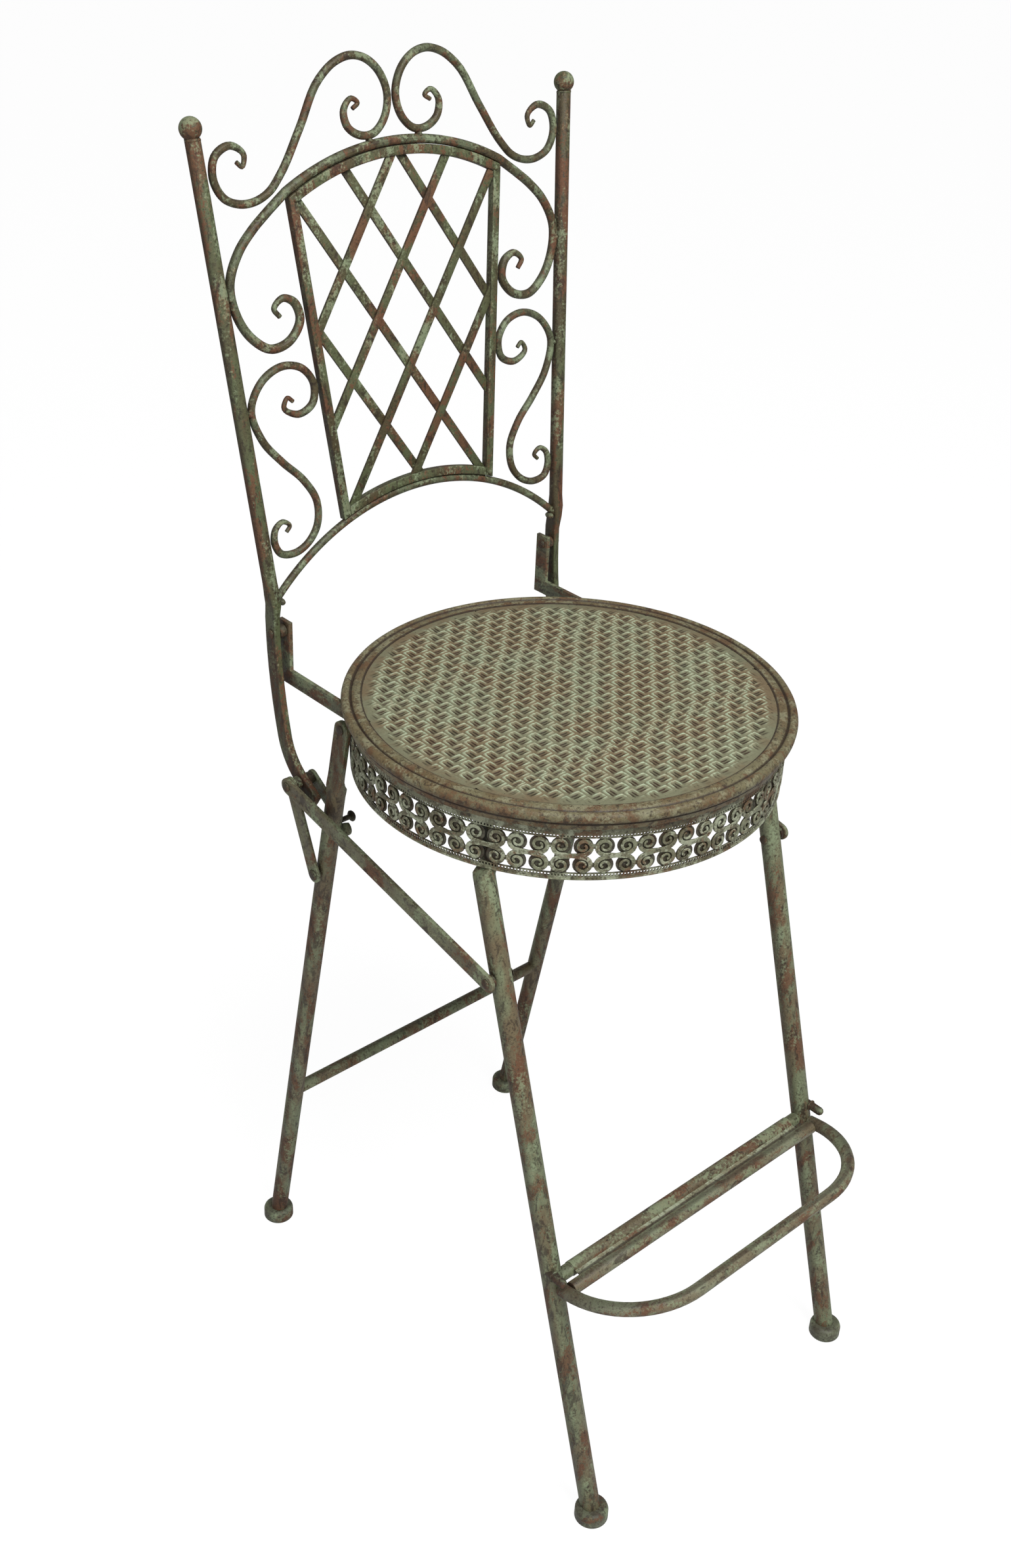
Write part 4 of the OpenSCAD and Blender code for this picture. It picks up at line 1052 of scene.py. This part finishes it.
# Struts and links: flat bars with round ends that tie the post ends to the legs. The
# faces are green; painted shade darkens the upper edges and the side faces a little.
strut_paint = worn_paint(
    "strut_paint", paint(98, 92, 70), paint(112, 114, 88), rusty=0.4, bloomy=0.35,
    stretch=(1, 0.5, 0.5), seed=111, flank_shade=0.15,
)
for side in SIDES:
    for what, body in (("strut", "struts"), ("link", "links")):
        bar = refined(f"{what}_{side}", f"flat_{what}_{side}", strut_paint, 0.7)
        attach(bar, body)
        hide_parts(f"{what}_{side}")

# Catch: a small hooked plate on the left strut bolt, which drops over a mushroom-headed
# stud in the rear leg and keeps the chair open.
catch = refined("catch_plate", "hooked_catch", strut_paint, 0.5)
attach(catch, "catch")
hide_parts("catch_plate")
CATCH_TURN, CATCH_REACH = math.radians(32.6), 50
STUD_ROOT, STUD_TIP = 163.35, 144.5
stud_spot = STRUT_PIVOT - CATCH_REACH * Vector((math.cos(CATCH_TURN), math.sin(CATCH_TURN)))
stud_outline = [(STUD_ROOT, 0), (STUD_ROOT, 2.5)] + [(STUD_TIP + a, r) for a, r in (
    (4.7, 2.5), (3.9, 4.6), (2.9, 5.4), (1.7, 5.2), (0.7, 4.2), (0.1, 2.2), (0, 0)
)]
stud = turned("mushroom_stud", stud_outline, at(0, *stud_spot), (-1, 0, 0))
completed(stud, rivet_rust, angle=40)
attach(stud, "rear_legs")
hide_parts("catch_stud")

# Footrest: a bow bent from one tube and closed by a straight tube, hung on the front
# cross bar by the straps. Worn pale where feet rub it.
footrest_paint = worn_paint(
    "footrest_paint", paint(110, 100, 78), paint(128, 130, 106), rusty=0.5, bloomy=0.45,
    stretch=(0.4, 1, 1), seed=121,
)
rest_tube = refined("footrest_tube", "straight_tube", footrest_paint, 0.3)
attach(rest_tube, "footrest")
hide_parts("footrest_tube")
bow_depth, bow_r, bow_rise = 84, 82, math.radians(11)
bend_x, bend_y = bow_r - FOOTREST_X, bow_depth - bow_r
bow = [Vector((-FOOTREST_X, -FOOTREST_D / 2)), Vector((-FOOTREST_X, bend_y))]
for k in range(1, 17):
    turn = math.pi - math.pi / 2 * k / 16
    bow.append(Vector((bend_x + bow_r * math.cos(turn), bend_y + bow_r * math.sin(turn))))
bow += mirrored(reversed(bow))
level, rise = math.cos(bow_rise), math.sin(bow_rise)
places = [at(p.x, footrest_y - p.y * level, CROSS_Z + p.y * rise) for p in bow]
bow_bar = scroll_bar("bent_bow", bow, places, (False, False), FOOTREST_D)
completed(bow_bar, footrest_paint, 0.5, 50)
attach(bow_bar, "footrest")
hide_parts("footrest_bow")

# Straps: thin sheet rolled round the cross bar and carried on, low between the two bars,
# to the footrest tube. Brown on the roll, pale green on the flat.
strap_paint = worn_paint(
    "strap_paint", paint(92, 78, 58), paint(104, 98, 76), rusty=0.6, bloomy=0.3,
    stretch=(0.4, 1, 1), seed=131, flank_shade=0.0,
)
seam_y = footrest_y + CENTRE_Y + FOOTREST_D / 2


def seam_painted_shadow(f):
    """A painted shadow in the seam between the flat sheet and the footrest tube."""
    return 0.8 * (1 - f.step(f.along(f.place, "Y") * 1000, seam_y + 0.8, seam_y + 2.6))


flat_paint = worn_paint(
    "flat_paint", paint(126, 122, 98), paint(138, 142, 118), paint(160, 168, 144),
    rusty=0.25, bloomy=0.6, stretch=(0.4, 1, 1), seed=141, flank_shade=0.0, painted_shade=seam_painted_shadow,
)
STRAP_START, STRAP_END, STRAP_BORE, STRAP_ROLL = 0.2, 150, 6.6, 7.1
FLAT_UP, FLAT_SHEET, LAP_FRONT, LAP_BACK = 2.4, 1.2, 0.6, 1.0
strap_outline = [
    (STRAP_START, STRAP_BORE), (STRAP_START, STRAP_ROLL), (STRAP_END, STRAP_ROLL),
    (STRAP_END, STRAP_BORE), (STRAP_START, STRAP_BORE),
]
low = footrest_y + FOOTREST_D / 2 - LAP_FRONT
high = FOOTREST_PIVOT.x - STRAP_ROLL + LAP_BACK
for side, sign in SIDES.items():
    roll = turned(
        f"strap_{side}", strap_outline, at(0, *FOOTREST_PIVOT), (sign, 0, 0), 32
    )
    completed(roll, strap_paint, angle=40)
    middle = at(sign * (STRAP_START + STRAP_END) / 2, (low + high) / 2, CROSS_Z + FLAT_UP)
    bpy.ops.mesh.primitive_cube_add(size=MM, location=middle)
    sheet = bpy.context.object
    bpy.ops.object.mode_set(mode="EDIT")
    bpy.ops.transform.resize(
        value=(STRAP_END - STRAP_START, high - low, FLAT_SHEET), center_override=sheet.location
    )
    bpy.ops.object.mode_set(mode="OBJECT")
    completed(sheet, flat_paint)
    clip = joined([roll, sheet])
    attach(clip, "footrest")
    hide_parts(f"footrest_clip_{side}")

# Camera where the photographer stood: left of the chair and in front of it, at eye level,
# looking down on the seat and held a little askew.
STAND, LENS = (-0.9823, -0.9496, 1.4546), 40.52
azimuth, elevation, askew = math.radians(-43.19), math.radians(31.44), math.radians(2.63)
camera = bpy.data.objects.new("camera", bpy.data.cameras.new("camera"))
bpy.context.scene.collection.objects.link(camera)
bpy.context.scene.camera = camera
camera.data.lens = LENS
camera.data.clip_end = 20
back = Vector((
    math.sin(azimuth) * math.cos(elevation),
    -math.cos(azimuth) * math.cos(elevation),
    math.sin(elevation),
))
level = Vector((0, 0, 1)).cross(back).normalized()
rise = back.cross(level)
right = level * math.cos(askew) + rise * math.sin(askew)
upward = rise * math.cos(askew) - level * math.sin(askew)
turn = Matrix((right, upward, back)).transposed().to_4x4()
camera.matrix_world = Matrix.Translation(STAND) @ turn

# Studio: a pale floor under one broad lamp above the front and a weaker one from the
# left, in a light tent.
FLOOR_Z, FLOOR_R, SEAT_MIDDLE = -0.0002, 20, Vector((0, 0, 0.6))
WHITE, PALE_GREY = (1, 1, 1, 1), (0.7, 0.7, 0.7, 1)
bpy.ops.mesh.primitive_circle_add(
    vertices=64, radius=FLOOR_R, fill_type="NGON", location=(0, 0, FLOOR_Z)
)
floor = bpy.context.object
floor.name = "studio_floor"
pale = Finish(bpy.data.materials.new("studio_floor"))
seen = pale.node("LightPath", out="Is Camera Ray")
matt = pale.node("BsdfDiffuse", None, {"Color": PALE_GREY})
lit = pale.node("Emission", None, {"Color": WHITE, "Strength": 1.1})
both = pale.node("MixShader", None, {0: 0.86 * seen, 1: matt, 2: lit})
pale.node("OutputMaterial", None, {"Surface": both})
floor.data.materials.append(pale.owner)


def lamp(name, place, size, power):
    """A soft square lamp at place, turned to the seat."""
    light = bpy.data.lights.new(name, "AREA")
    light.size, light.energy = size, power
    holder = bpy.data.objects.new(name, light)
    bpy.context.scene.collection.objects.link(holder)
    holder.location = place
    ray = Vector(place) - SEAT_MIDDLE
    holder.rotation_euler = ray.to_track_quat("Z", "Y").to_euler()


lamp("main_lamp", (-0.3, -1.5, 3.1), 1.2, 88)
lamp("side_lamp", (-2.4, -0.6, 1.4), 1.6, 14)
world = bpy.data.worlds.new("tent")
bpy.context.scene.world = world
air = Finish(world)
tent = air.node("Background", None, {"Color": WHITE, "Strength": 0.34})
blank = air.node("Background", None, {"Color": WHITE, "Strength": 1.0})
seen = air.node("LightPath", out="Is Camera Ray")
both = air.node("MixShader", None, {0: seen, 1: tent, 2: blank})
air.node("OutputWorld", None, {"Surface": both})
bpy.context.scene.view_settings.view_transform = "Standard"
